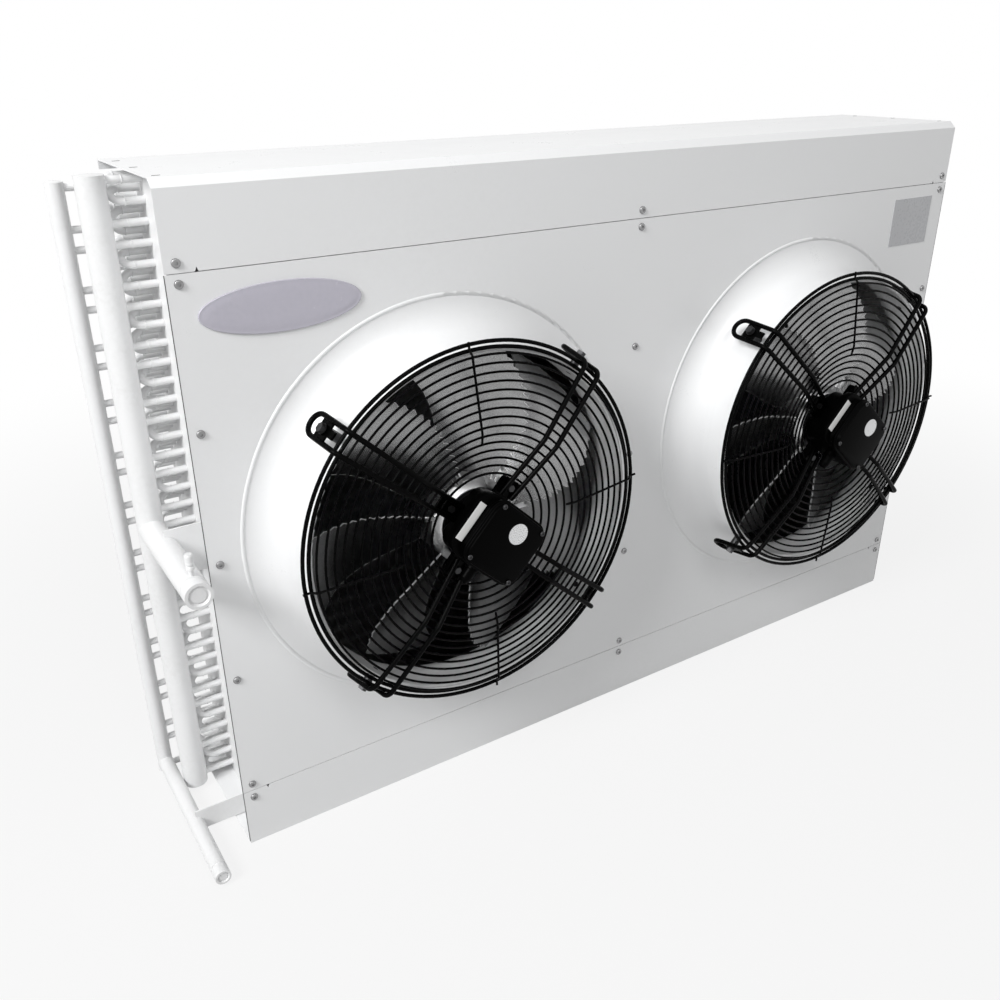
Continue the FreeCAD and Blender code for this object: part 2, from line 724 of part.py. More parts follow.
def u_tube(start, turn, span):
    """A hollow tube from X = start to a half-circle bend at X = turn and back, span apart."""
    reach = span / 2 if turn > start else -span / 2
    path = Part.Wire([
        Part.LineSegment(Vector(start, 0, 0), Vector(turn, 0, 0)).toShape(),
        Part.Arc(Vector(turn, 0, 0), Vector(turn + reach, span / 2, 0), Vector(turn, span, 0)).toShape(),
        Part.LineSegment(Vector(turn, span, 0), Vector(start, span, 0)).toShape(),
    ])
    return hollow_sweep(path, s.tube.number, s.tube.number - s.tube_wall.number)


def place_u(shape, start, end):
    """Turns and moves a U tube so that its legs lie on two tube places."""
    (y0, z0), (y1, z1) = start, end
    copy = shape.copy()
    copy.rotate(Vector(0, 0, 0), Vector(1, 0, 0), math.degrees(math.atan2(z1 - z0, y1 - y0)))
    copy.translate(Vector(0, y0, z0))
    return copy


# Pairs of (row, column) in one group of three rows: first those joined at the right end.
HAIRPINS = (((0, 0), (1, 0)), ((0, 1), (0, 2)), ((1, 2), (0, 3)),
            ((2, 0), (1, 1)), ((2, 1), (2, 2)), ((1, 3), (2, 3)))
RETURN_BENDS = (((1, 0), (0, 1)), ((0, 2), (1, 2)), ((1, 1), (2, 1)), ((2, 2), (1, 3)))
FED_ROWS = (0, 2)


def coil_groups():
    return range(int(group_count.number))


def make_coil_tubes():
    """Long hairpins from the left end plate, and the short bends that join them there."""
    span = s.row_pitch.number
    tube_end = -(plate_face + s.tube_stand).number
    crown = span / 2 + s.tube.number
    hairpin = u_tube(tube_end, (plate_face + s.hairpin_reach).number - crown, span)
    bend = u_tube(tube_end, crown - (plate_face + s.bend_reach).number, span)
    for label, shape, pairs in (("hairpin_tubes", hairpin, HAIRPINS), ("return_bends", bend, RETURN_BENDS)):
        shapes = []
        for group in coil_groups():
            for (row_a, column_a), (row_b, column_b) in pairs:
                start = tube_place(group * GROUP_ROWS + row_a, column_a)
                end = tube_place(group * GROUP_ROWS + row_b, column_b)
                shapes.append(place_u(shape, start, end))
        set_back(solids(label, shapes))


def make_stubs(label, column, header_x, header_radius):
    """Straight tube ends from one column into its header."""
    start = -(plate_face.number + s.tube_stand.number)
    end = -(half_width + header_x - header_radius + s.stub_depth).number
    shapes = []
    for group in coil_groups():
        for row in FED_ROWS:
            y, z = tube_place(group * GROUP_ROWS + row, column)
            path = Part.Wire([Part.LineSegment(Vector(start, y, z), Vector(end, y, z)).toShape()])
            shapes.append(hollow_sweep(path, s.tube.number, s.tube.number - s.tube_wall.number))
    set_back(solids(label, shapes))


def make_header(label, x, y, radius, wall, low, high, column, branch_z):
    """An upright tube with stub holes on its coil side and one hole for its branch."""
    body = new_body(label)
    section = new_sketch(body, "Section", "XY_Plane", x=x, y=y, out=low)
    draw_circle(section, 0, 0, radius)
    draw_circle(section, 0, 0, radius - wall)
    pad(body, section, high - low)
    stubs = new_sketch(body, "StubHoles", "YZ_Plane", out=x)
    drop = s.row_pitch / 2 if column % 2 else 0
    for row in FED_ROWS:
        z = first_row + s.row_pitch * (GROUP_ROWS - 1 - row) - drop
        draw_circle(stubs, y, z, s.tube + s.tube_clearance)
    first = pocket(body, stubs, radius + 1, back=True)
    stack(body, first, stubs, s.row_pitch * GROUP_ROWS, group_count)
    branch = new_sketch(body, "BranchHole", "XZ_Plane", out=-y)
    draw_circle(branch, x, branch_z, radius - wall - 1)
    body.Tip = pocket(body, branch, radius + 1, back=True)
    set_back(body)


def spun_cap(radius, high, wall, x, y, z, up):
    """A domed cap that closes a header's end: a short skirt and a dome."""
    way = 1 if up else -1
    skirt = high * 0.4
    rise = high - skirt
    ball = (radius * radius + rise * rise) / (2 * rise)
    top = Vector(0, 0, way * high)
    shoulder = Vector(radius, 0, way * skirt)
    mid_angle = math.asin(radius / ball) / 2
    middle = Vector(ball * math.sin(mid_angle), 0, way * (high - ball + ball * math.cos(mid_angle)))
    outline = Part.Wire([
        Part.LineSegment(Vector(0, 0, 0), Vector(radius, 0, 0)).toShape(),
        Part.LineSegment(Vector(radius, 0, 0), shoulder).toShape(),
        Part.Arc(shoulder, middle, top).toShape(),
        Part.LineSegment(top, Vector(0, 0, 0)).toShape(),
    ])
    cap = Part.Face(outline).revolve(Vector(0, 0, 0), Vector(0, 0, 1), 360)
    cap.translate(Vector(x, y, z))
    return cap


def make_header_caps(label, x, y, radius, low, high, top_rise, bottom_rise):
    shapes = [
        spun_cap(radius.number, top_rise, 2, x.number, y.number, high.number, True),
        spun_cap(radius.number, bottom_rise, 2, x.number, y.number, low.number, False),
    ]
    set_back(solids(label, shapes))


def pipe_part(label, radius, wall, x, header_y, y_to, z, header_radius):
    """A pipe along Y whose back end fits round an upright header, clear of the header's stubs.

    A shallow mark round its free end shows how far a coupling goes on.
    """
    def rod(name, size, low, high):
        item = doc.addObject("Part::Cylinder", name)
        bind(item, "Radius", size)
        bind(item, "Height", low - high)
        item.Placement = Placement(Vector(0, 0, 0), Rotation(Vector(1, 0, 0), 90))
        bind(item, "Placement.Base.x", x)
        bind(item, "Placement.Base.y", low)
        bind(item, "Placement.Base.z", z)
        return item
    outer = rod(label + "_outer", radius, header_y - s.tube - s.fit_gap, y_to)
    bore = rod(label + "_bore", radius - wall, header_y, y_to - 1)
    post = doc.addObject("Part::Cylinder", label + "_post")
    bind(post, "Radius", header_radius)
    bind(post, "Height", radius * 4)
    bind(post, "Placement.Base.x", x)
    bind(post, "Placement.Base.y", header_y)
    bind(post, "Placement.Base.z", z - radius * 2)
    mark = doc.addObject("Part::Cut", label + "_mark")
    mark.Base = rod(label + "_band", radius + 1, y_to + s.free_end + s.mark_wide, y_to + s.free_end)
    mark.Tool = rod(label + "_core", radius - s.mark_deep, header_y, y_to)
    blank = doc.addObject("Part::Cut", label + "_blank")
    blank.Base = outer
    blank.Tool = mark
    tube = doc.addObject("Part::Cut", label + "_tube")
    tube.Base = blank
    tube.Tool = bore
    cut = doc.addObject("Part::Cut", label)
    cut.Base = tube
    cut.Tool = post
    keep(cut, label)
    set_back(cut)


def make_pipe_cap(label, radius, wall, x, y, z):
    """A plug brazed flush into a pipe's open end: a rim round a dished middle."""
    body = new_body(label)
    sketch = new_sketch(body, "Section", "XY_Plane", x=x, out=z)
    bore = radius - wall
    draw(sketch, [
        (0, -y + 1.5),
        (bore * 0.55, -y + 1.5),
        (bore * 0.7, -y + 3),
        (bore * 0.85, -y),
        (bore, -y),
        (bore, -y + 7),
        (bore - 1.2, -y + 7),
        (bore * 0.8, -y + 4.8),
        (0, -y + 4.8),
    ])
    revolve(body, sketch)
    set_back(body)


def make_service_valve():
    """A schrader valve brazed on top of the inlet pipe, with its cap as a piece of its own."""
    base = s.inlet_z + s.gas_tube + 0.05
    x = -(half_width + s.gas_x)
    profiles = (
        ("service_valve", [(0, 0), (3.2, 0), (3.2, 7), (5, 8), (5, 12), (3.8, 13), (3.8, 15),
                           (2.6, 15), (2.6, 22), (0, 22)]),
        ("valve_cap", [(0, 22.1), (2.7, 22.1), (2.7, 15.1), (5.4, 15.1), (5.4, 18), (4.9, 18.4),
                       (4.9, 19.2), (5.4, 19.6), (5.4, 27), (4.4, 29), (0, 29)]),
    )
    for label, corners in profiles:
        body = new_body(label)
        sketch = new_sketch(body, "Section", "XZ_Plane", x=x, y=base, out=s.valve_y)
        draw(sketch, corners)
        revolve(body, sketch)
        set_back(body)


def make_bracket(label, pipe_x, pipe_z, radius, y, low, high):
    """A plate that carries a pipe, with a foot turned back along the end plate."""
    body = new_body(label)
    face = -plate_face
    section = new_sketch(body, "Section", "XY_Plane", out=low)
    draw(section, [
        (pipe_x, y),
        (face, y),
        (face, y + s.bracket_foot),
        (face - s.plate, y + s.bracket_foot),
        (face - s.plate, y + s.plate),
        (pipe_x, y + s.plate),
    ])
    pad(body, section, high)
    saddle = new_sketch(body, "Saddle", "XZ_Plane")
    draw_circle(saddle, pipe_x, pipe_z, radius + s.fit_gap * 0.3)
    pocket(body, saddle, both=True)
    set_back(body)


def make_bracket_rivets():
    """Rivets through each bracket's foot and the end plate."""
    shapes = []
    places = (
        (s.inlet_bracket_y, s.inlet_bracket_z, s.inlet_bracket_high),
        (s.outlet_bracket_y, s.outlet_bracket_z, s.outlet_bracket_high),
    )
    face = -(plate_face + s.plate).number
    for y, low, high in places:
        for share in (0.2, 0.8):
            centre = Vector(face, (y + s.bracket_foot * 0.6).number, (low + high * share).number)
            head = Part.makeCylinder(4, 1.2, centre, Vector(-1, 0, 0))
            shapes.append(head)
    set_back(solids("bracket_rivets", shapes))


def make_coil():
    make_fin_block()
    make_coil_tubes()
    gas_x = -(half_width + s.gas_x)
    liquid_x = -(half_width + s.liquid_x)
    make_stubs("gas_stubs", 0, s.gas_x, s.gas_tube)
    make_stubs("liquid_stubs", COLUMNS - 1, s.liquid_x, s.liquid_tube)
    gas_top, gas_bottom = gas_high - 3, s.gas_low + 12
    make_header("gas_header", gas_x, first_column, s.gas_tube, s.gas_wall, gas_bottom, gas_top,
                0, s.inlet_z)
    make_header_caps("gas_header_caps", gas_x, first_column, s.gas_tube, gas_bottom, gas_top, 3, 12)
    liquid_top, liquid_bottom = liquid_high - 3, s.liquid_low + 1.5
    make_header("liquid_header", liquid_x, last_column, s.liquid_tube, s.liquid_wall, liquid_bottom,
                liquid_top, COLUMNS - 1, s.outlet_z)
    make_header_caps("liquid_header_caps", liquid_x, last_column, s.liquid_tube, liquid_bottom,
                     liquid_top, 3, 1.5)
    pipe_part("gas_inlet_pipe", s.gas_tube, s.gas_wall, gas_x, first_column, -s.inlet_reach,
              s.inlet_z, s.gas_tube)
    pipe_part("liquid_outlet_pipe", s.liquid_tube, s.liquid_wall, liquid_x, last_column,
              -s.outlet_reach, s.outlet_z, s.liquid_tube)
    make_pipe_cap("gas_inlet_cap", s.gas_tube, s.gas_wall, gas_x, s.inlet_reach, s.inlet_z)
    make_pipe_cap("liquid_outlet_cap", s.liquid_tube, s.liquid_wall, liquid_x, s.outlet_reach, s.outlet_z)
    make_service_valve()
    make_bracket("inlet_bracket", gas_x, s.inlet_z, s.gas_tube, s.inlet_bracket_y,
                 s.inlet_bracket_z, s.inlet_bracket_high)
    make_bracket("outlet_bracket", liquid_x, s.outlet_z, s.liquid_tube, s.outlet_bracket_y,
                 s.outlet_bracket_z, s.outlet_bracket_high)
    make_bracket_rivets()


def guard_turn(side):
    """The turn of one fan's guard and motor from the diagonals, measured in the photo."""
    return s.left_tilt if side < 0 else s.right_tilt


def make_motor_flange(side, label):
    """The motor's fixed front flange with its hub tube and four lugs."""
    body = new_body(label)
    front = -s.flange_front
    back = front + s.flange_thick
    section = new_sketch(body, "Section", "XY_Plane")
    draw(section, [
        (0, front),
        (s.motor_flange - 6, front),
        (s.motor_flange, back),
        (s.hub_tube, back),
        (s.hub_tube, -8),
        (s.bearing_seat, -8),
        (s.bearing_seat, front + 4),
        (0, front + 4),
    ])
    revolve(body, section)
    half = s.lug_wide / 2
    steps = (
        ("Lug", s.flange_front - 8, 8, s.motor_flange - 16),
        ("LugSeat", s.flange_front, s.lug_seat, s.box_end + 1.5),
    )
    for name, out, thick, inner in steps:
        lug = new_sketch(body, name, "XZ_Plane", out=out)
        draw(lug, [
            (inner, -half),
            (s.lug_reach - 6, -half, 6, 1),
            (s.lug_reach, -half + 6),
            (s.lug_reach, half - 6, 6, 1),
            (s.lug_reach - 6, half),
            (inner, half),
        ])
        draw_circle(lug, s.lug_bolt_ring, 0, s.lug_bolt + 0.1)
        first = pad(body, lug, thick)
        ring(body, first, lug, 4)
    to_fan(body, side, guard_turn(side) + 45)


def fan_cylinder(name, radius, front, long):
    """A cylinder on the fan's axis, from front back along Y."""
    item = doc.addObject("Part::Cylinder", name)
    bind(item, "Radius", radius)
    bind(item, "Height", long)
    item.Placement = Placement(Vector(0, 0, 0), Rotation(Vector(1, 0, 0), -90))
    bind(item, "Placement.Base.y", front)
    return item


def make_stator(side, label):
    outer = fan_cylinder(label + "_outer", s.stator, -68, s.rotor_front - 22)
    hole = fan_cylinder(label + "_hole", s.hub_tube + 0.05, -70, s.rotor_front)
    core = doc.addObject("Part::Cut", label)
    core.Base = outer
    core.Tool = hole
    keep(core, label)
    to_fan(core, side)


def make_bearings(side, label):
    """Two deep-groove bearings, each drawn as one closed ring."""
    seat = s.bearing_seat.number
    bore = s.shaft.number + s.running_clearance.number
    wide = s.bearing_width.number
    shapes = []
    for front in (-88.0, -20.0):
        outer = Part.makeCylinder(seat, wide, Vector(0, front, 0), AXIS_Y)
        race = Part.makeTorus((seat + bore) / 2, wide * 0.28, Vector(0, front, 0), AXIS_Y)
        far_race = race.translated(Vector(0, wide, 0))
        hole = Part.makeCylinder(bore, wide + 2, Vector(0, front - 1, 0), AXIS_Y)
        shapes.append(outer.cut(hole).cut(race).cut(far_race))
    to_fan(solids(label, shapes), side)


def make_shaft(side, label):
    body = new_body(label)
    section = new_sketch(body, "Section", "XY_Plane")
    end = -(s.flange_front - 5)
    draw(section, [
        (0, end),
        (s.shaft - 1, end),
        (s.shaft, end + 1),
        (s.shaft, 3),
        (0, 3),
    ])
    revolve(body, section)
    to_fan(body, side)


def make_rotor_can(side, label):
    """The turning shell of the motor: closed at the back, with the shaft pressed in."""
    body = new_body(label)
    section = new_sketch(body, "Section", "XY_Plane")
    front = -s.rotor_front
    bore = s.rotor - s.rotor_wall
    draw(section, [
        (0, s.rotor_back),
        (0, 3),
        (s.shaft, 3),
        (s.shaft, -5),
        (14, -5),
        (14, 1),
        (bore, 1),
        (bore, front + 6),
        (bore - 3, front + 4),
        (bore - 3, front),
        (s.rotor - 5, front, 5, 1),
        (s.rotor, front + 5),
        (s.rotor, s.rotor_back - 6, 6, 1),
        (s.rotor - 6, s.rotor_back),
    ])
    revolve(body, section)
    to_fan(body, side)


def blade_outline(root, tip):
    """A blade seen from the front: a saw-toothed trailing edge, the tip and a swept leading edge."""
    teeth = int(s.tooth_count.number)
    sweep = s.blade_sweep.number

    def trailing(radius):
        share = (radius - root) / (tip - root)
        return -sweep * (1 - share ** 3)

    def span(radius):
        share = (tip - radius) / (tip - root)
        return s.tip_span.number + (s.root_span.number - s.tip_span.number) * share ** 2

    def at(radius, angle):
        turn = math.radians(angle)
        return Vector(radius * math.cos(turn), 0, radius * math.sin(turn))

    toothed = root + (tip - root) * 0.12
    step = (tip - toothed) / teeth
    back = [at(root, trailing(root)), at(toothed, trailing(toothed))]
    for tooth in range(teeth):
        low = toothed + step * tooth
        notch = low + step * 0.25
        cut = math.degrees(s.tooth_depth.number / notch)
        back.append(at(notch, trailing(notch) + cut))
        back.append(at(low + step, trailing(low + step)))
    edges = [Part.LineSegment(a, b).toShape() for a, b in zip(back, back[1:])]
    tip_lead = span(tip)
    edges.append(Part.Arc(at(tip, 0), at(tip, tip_lead / 2), at(tip, tip_lead)).toShape())
    radii = [tip + (root - tip) * share / 6 for share in range(7)]
    lead = Part.BSplineCurve()
    lead.interpolate([at(radius, trailing(radius) + span(radius)) for radius in radii])
    edges.append(lead.toShape())
    root_end = trailing(root) + span(root)
    root_mid = at(root, (trailing(root) + root_end) / 2)
    edges.append(Part.Arc(at(root, root_end), root_mid, at(root, trailing(root))).toShape())
    return Part.Wire(Part.__sortEdges__(edges))


def blade_sheet(root, tip):
    """A twisted, cambered sheet, larger than the blade, lofted through four flat sections."""
    thick = s.blade_sheet.number
    front = -s.blade_front.number
    middle = math.radians(s.tip_span.number / 2 - s.blade_sweep.number / 2)
    wires = []
    for share, pitch in ((-0.12, 47), (0.25, 38), (0.62, 30), (1.06, 25)):
        radius = root + (tip - root) * share
        slope = math.radians(pitch)
        half = radius * 0.36 + 42
        depth = math.tan(slope)
        centre_y = front + depth * radius * math.radians(s.tip_span.number) * 0.5
        camber = half * 0.10

        def point(along, lift):
            out = Vector(math.cos(middle), 0, math.sin(middle)).multiply(radius)
            side = Vector(-math.sin(middle), 0, math.cos(middle)).multiply(along * math.cos(slope))
            rise = Vector(0, centre_y + along * math.sin(slope), 0)
            normal = Vector(math.sin(middle) * math.sin(slope), math.cos(slope),
                            -math.cos(middle) * math.sin(slope)).multiply(lift)
            return out.add(side).add(rise).add(normal)

        low_arc = Part.Arc(point(-half, 0), point(0, camber), point(half, 0)).toShape()
        high_arc = Part.Arc(point(half, thick), point(0, camber + thick), point(-half, thick)).toShape()
        ends = [
            Part.LineSegment(point(half, 0), point(half, thick)).toShape(),
            Part.LineSegment(point(-half, thick), point(-half, 0)).toShape(),
        ]
        wires.append(Part.Wire([low_arc, ends[0], high_arc, ends[1]]))
    return Part.makeLoft(wires, True, False)


def make_blades(side, label, first_angle):
    root, tip = s.rotor.number, s.blade_tip.number
    profile = Part.Face(blade_outline(root, tip))
    profile.translate(Vector(0, -200, 0))
    blade = blade_sheet(root, tip).common(profile.extrude(Vector(0, 400, 0)))
    blade = max(blade.Solids, key=lambda solid: solid.Volume)
    count = int(s.blade_count.number)
    shapes = []
    for index in range(count):
        copy = blade.copy()
        copy.rotate(Vector(0, 0, 0), FORWARD, 360.0 * index / count)
        shapes.append(copy)
    to_fan(solids(label, shapes), side, first_angle)


def arm_line(radius):
    """How far the arms' rods stand in front of the panel at a radius."""
    root, bend, rim = s.arm_root.number, s.arm_bend.number, s.arm_rim.number
    if radius < bend:
        share = (radius - root) / (bend - root)
        return s.arm_root_y.number + (s.arm_bend_y.number - s.arm_root_y.number) * share
    share = (radius - bend) / (rim - bend)
    return s.arm_bend_y.number + (s.arm_rim_y.number - s.arm_bend_y.number) * share


def ring_line(radius):
    """How far the guard's rings stand in front of the panel at a radius: behind the rods."""
    return arm_line(radius) - s.arm_rod.number - s.guard_wire.number - 0.2


def rounded_path(points, radii):
    """Straight runs joined by tangent arcs, one radius for each inner point."""
    edges = []
    start = points[0]
    for before, corner, after, radius in zip(points, points[1:], points[2:], radii):
        into = before.sub(corner).normalize()
        out = after.sub(corner).normalize()
        half = into.getAngle(out) / 2
        cut = radius / math.tan(half)
        first = corner.add(Vector(into).multiply(cut))
        last = corner.add(Vector(out).multiply(cut))
        bisector = into.add(out).normalize()
        centre = corner.add(bisector.multiply(radius / math.sin(half)))
        toward = corner.sub(centre).normalize().multiply(radius)
        edges.append(Part.LineSegment(start, first).toShape())
        edges.append(Part.Arc(first, centre.add(toward), last).toShape())
        start = last
    edges.append(Part.LineSegment(start, points[-1]).toShape())
    return Part.Wire(edges)


def round_rod(path, radius):
    start = path.Edges[0].valueAt(path.Edges[0].FirstParameter)
    way = path.Edges[0].tangentAt(path.Edges[0].FirstParameter)
    return path.makePipe(Part.Face(Part.Wire([Part.Circle(start, way, radius).toShape()])))


def arm_point(radius, forward, side):
    """A point on one rod of the arm along +X; the rods spread towards the rim."""
    root, rim = s.arm_root.number, s.arm_rim.number
    share = min((radius - root) / (rim - root), 1)
    gauge = s.arm_root_gauge.number + (s.arm_gauge.number - s.arm_root_gauge.number) * share
    return Vector(radius, -forward, side * gauge / 2)


def guard_arm():
    """One arm along +X: a single wire looped at its far end, a foot and a plate for the bolt."""
    corners = (
        (s.arm_root.number, s.arm_root_y.number),
        (s.arm_bend.number, s.arm_bend_y.number),
        (s.arm_rim.number, s.arm_rim_y.number),
        (s.loop_end.number, s.loop_end_y.number),
    )
    points = [arm_point(radius, forward, 1) for radius, forward in corners]
    points += [arm_point(radius, forward, -1) for radius, forward in reversed(corners)]
    loop = s.arm_gauge.number / 2 - 0.1
    wire = round_rod(rounded_path(points, (6, 14, loop, loop, 14, 6)), s.arm_rod.number)
    foot_back = -(s.flange_front + s.lug_seat).number
    foot_thick = 2.0
    foot = Part.makeBox(24, foot_thick, s.lug_wide.number + 2,
                        Vector(s.arm_root.number, foot_back - foot_thick, -s.lug_wide.number / 2 - 1))
    bolt = Part.makeCylinder(s.lug_bolt.number + 0.1, 20,
                             Vector(s.lug_bolt_ring.number, foot_back - 10, 0), AXIS_Y)
    return wire.fuse([foot.cut(bolt), eyelet()])


def loop_place():
    """Where the guard's bolt crosses the loop's plane, and the loop's slope along the arm."""
    run = Vector(s.loop_end.number - s.arm_rim.number, s.arm_rim_y.number - s.loop_end_y.number, 0)
    along = (s.arm_rim_y.number - s.eyelet_bolt_y.number) / run.y
    radius = s.arm_rim.number + run.x * along
    return Vector(radius, -s.eyelet_bolt_y.number, 0), math.degrees(math.atan2(run.x, run.y))


def eyelet():
    """The plate welded across a loop, with a hole for the bolt and a tail towards the rim."""
    wide = s.arm_gauge.number + s.arm_rod.number
    long = s.eyelet_long.number
    thick = s.eyelet_thick.number
    plate = Part.makeBox(thick, long, wide, Vector(-thick / 2, -long * 0.45, -wide / 2))
    tail = Part.makeBox(thick, 12, 11, Vector(-thick / 2, -long * 0.45 - 12, -5.5))
    hole = Part.makeCylinder(s.eyelet_bolt.number + 0.3, thick * 2, Vector(-thick, 0, 0), Vector(1, 0, 0))
    whole = plate.fuse(tail).cut(hole)
    place, slope = loop_place()
    whole.Placement = Placement(place, Rotation(Vector(0, 0, 1), -slope))
    return whole


def make_guard(side, name):
    """The wire guard: thin rings, rim rings, short spokes and four arms."""
    shapes = []
    for index in range(int(s.ring_count.number)):
        radius = s.guard_inner.number + s.ring_pitch.number * index
        centre = Vector(0, -ring_line(radius), 0)
        shapes.append(Part.makeTorus(radius, s.guard_wire.number, centre, AXIS_Y))
    wire = s.guard_rim_wire.number
    rim_y = -s.guard_rim_y.number
    outer = s.guard_outer.number - wire
    for radius in (outer, outer - wire * 3):
        shapes.append(Part.makeTorus(radius, wire, Vector(0, rim_y, 0), AXIS_Y))
    to_fan(solids(f"{name}_guard_rings", shapes), side)

    lift = s.guard_wire.number * 2 + 0.1
    last = s.guard_inner.number + s.ring_pitch.number * (s.ring_count.number - 1)
    spoke = round_rod(rounded_path([
        Vector(s.spoke_inner.number, -ring_line(s.spoke_inner.number) - lift, 0),
        Vector(s.arm_bend.number, -ring_line(s.arm_bend.number) - lift, 0),
        Vector(last + 3.5, -ring_line(last) - lift, 0),
        Vector(last + 9, rim_y - wire - s.guard_wire.number - 0.1, 0),
        Vector(s.guard_outer.number + 2, rim_y - wire - s.guard_wire.number - 0.1, 0),
    ], (5, 3, 2)), s.guard_wire.number)
    spokes = []
    arms = []
    arm = guard_arm()
    for quarter in range(4):
        spokes.append(turned(spoke, 90 * quarter))
        arms.append(turned(arm, 90 * quarter + 45))
    to_fan(solids(f"{name}_guard_spokes", spokes), side, guard_turn(side))
    to_fan(solids(f"{name}_guard_arms", arms), side, guard_turn(side))


def turned(shape, angle):
    copy = shape.copy()
    copy.rotate(Vector(0, 0, 0), FORWARD, angle)
    return copy


def make_guard_bolts(side, label):
    """Bolts with spacers on the nozzle, and bolts in the motor lugs."""
    out = Vector(1, 0, 0)
    wall = throat.number
    place, slope = loop_place()
    half = s.eyelet_thick.number / 2 / math.cos(math.radians(slope))
    high = s.eyelet_bolt.number * math.tan(math.radians(slope))
    shank = s.eyelet_bolt.number
    washer = Part.makeCylinder(7, 1.2, Vector(place.x + half + high * 2, place.y, 0), out)
    bolt = washer.fuse(hexagon(6.5, 5, Vector(place.x + half + high * 2 + 1.2, place.y, 0), out))
    long = place.x + half + high * 2 - wall + s.sheet.number
    bolt = bolt.fuse(Part.makeCylinder(shank, long, Vector(wall - s.sheet.number, place.y, 0), out))
    sleeve_end = place.x - half - high * 2
    sleeve = Part.makeCylinder(6.4, sleeve_end - wall - 0.2, Vector(wall + 0.2, place.y, 0), out)
    bolt = bolt.fuse(sleeve)
    foot_front = -(s.flange_front + s.lug_seat).number - 2
    lug_bolt = hexagon(5, 4, Vector(s.lug_bolt_ring.number, foot_front - 4, 0), AXIS_Y)
    lug_bolt = lug_bolt.fuse(Part.makeCylinder(s.lug_bolt.number, 16,
                                               Vector(s.lug_bolt_ring.number, foot_front, 0), AXIS_Y))
    shapes = []
    for quarter in range(4):
        shapes.append(turned(bolt, 90 * quarter + 45))
        shapes.append(turned(lug_bolt, 90 * quarter + 45))
    to_fan(solids(label, shapes), side, guard_turn(side))


def hexagon(radius, long, base, axis):
    """A hexagonal prism standing on base along axis."""
    points = []
    for index in range(7):
        angle = math.radians(60 * index)
        points.append(Vector(radius * math.cos(angle), radius * math.sin(angle), 0))
    prism = Part.Face(Part.makePolygon(points)).extrude(Vector(0, 0, long))
    prism.Placement = Placement(base, Rotation(Vector(0, 0, 1), axis))
    return prism


def box_turn():
    return s.box_tilt - 45


def make_terminal_box(side, label):
    """The box on the motor's face: narrow behind, with a step that overhangs one lug."""
    body = new_body(label)
    half = s.box_half
    foot = new_sketch(body, "Foot", "XZ_Plane", out=s.flange_front)
    draw(foot, round_corners(-s.box_end, -half, s.box_end, half, s.box_corner))
    pad(body, foot, s.box_step_y - s.flange_front)
    step = new_sketch(body, "Step", "XZ_Plane", out=s.box_step_y)
    draw(step, round_corners(-s.box_step, -half, s.box_end, half, s.box_corner))
    pad(body, step, s.box_front - s.box_step_y)
    seat = new_sketch(body, "Seat", "XZ_Plane", out=s.box_front)
    draw(seat, round_corners(-s.box_end, -half, s.box_end, half, s.box_corner))
    pad(body, seat, s.lid_seat - s.box_front)
    hollow = new_sketch(body, "Hollow", "XZ_Plane", out=s.lid_seat)
    wall = s.box_wall
    draw(hollow, round_corners(wall - s.box_end, wall - half, s.box_end - wall, half - wall,
                               s.box_corner - wall))
    pocket(body, hollow, s.lid_seat - s.flange_front - wall)
    posts = new_sketch(body, "ScrewPosts", "XZ_Plane", out=s.flange_front + wall)
    for x, z in LID_SCREWS:
        draw_circle(posts, x, z, s.lid_screw + 2.5)
        draw_circle(posts, x, z, s.lid_screw + 0.1)
    pad(body, posts, s.lid_seat - s.flange_front - wall)
    to_fan(body, side, box_turn())


def make_terminal_lid(side, label):
    body = new_body(label)
    grow = 2
    wall = s.box_wall
    half = s.box_half + grow
    end = s.box_end + grow
    face = new_sketch(body, "Face", "XZ_Plane", out=s.lid_seat)
    draw(face, round_corners(-end, -half, end, half, s.box_corner + grow))
    pad(body, face, s.lid_front - s.lid_seat)
    hollow = new_sketch(body, "Hollow", "XZ_Plane", out=s.lid_seat)
    inset = wall + grow
    draw(hollow, round_corners(inset - end, inset - half, end - inset, half - inset,
                               s.box_corner + grow - inset))
    shell = pocket(body, hollow, s.lid_front - s.lid_seat - wall, back=True)
    doc.recompute()
    rim = body.newObject("PartDesign::Fillet", "Rim")
    rim.Base = (shell, front_edges(shell.Shape, -s.lid_front.number))
    rim.Radius = 4
    holes = new_sketch(body, "ScrewHoles", "XZ_Plane", out=s.lid_front)
    for x, z in LID_SCREWS:
        draw_circle(holes, x, z, s.lid_screw + 0.1)
    pocket(body, holes, s.lid_front - s.lid_seat + 1)
    to_fan(body, side, box_turn())


def front_edges(shape, front):
    """Names of the edges that lie in the plane Y = front."""
    names = []
    for index, edge in enumerate(shape.Edges, start=1):
        if edge.BoundBox.YMax < front + 0.01:
            names.append(f"Edge{index}")
    return names


def make_terminal_screws(side, label):
    shapes = []
    one = screw(3.5, 2, s.lid_screw.number, 20, 1.4)
    face = -s.lid_front.number
    for x, z in LID_SCREWS:
        copy = one.copy()
        copy.translate(Vector(x, face, z))
        shapes.append(copy)
    to_fan(solids(label, shapes), side, box_turn())


def make_cable_gland(side, label):
    """A gland screwed into the box's lower side, empty: no cable shows."""
    body = new_body(label)
    middle = (s.box_step_y + s.box_front) / 2
    sketch = new_sketch(body, "Section", "XZ_Plane", x=-30, out=middle)
    radius = s.gland
    base = -s.box_half
    draw(sketch, [
        (4, base),
        (radius, base),
        (radius, base - 6),
        (radius - 1.5, base - 7),
        (radius - 1.5, base - 20),
        (radius - 4, base - 26),
        (4, base - 26),
    ])
    revolve(body, sketch)
    to_fan(body, side, box_turn())


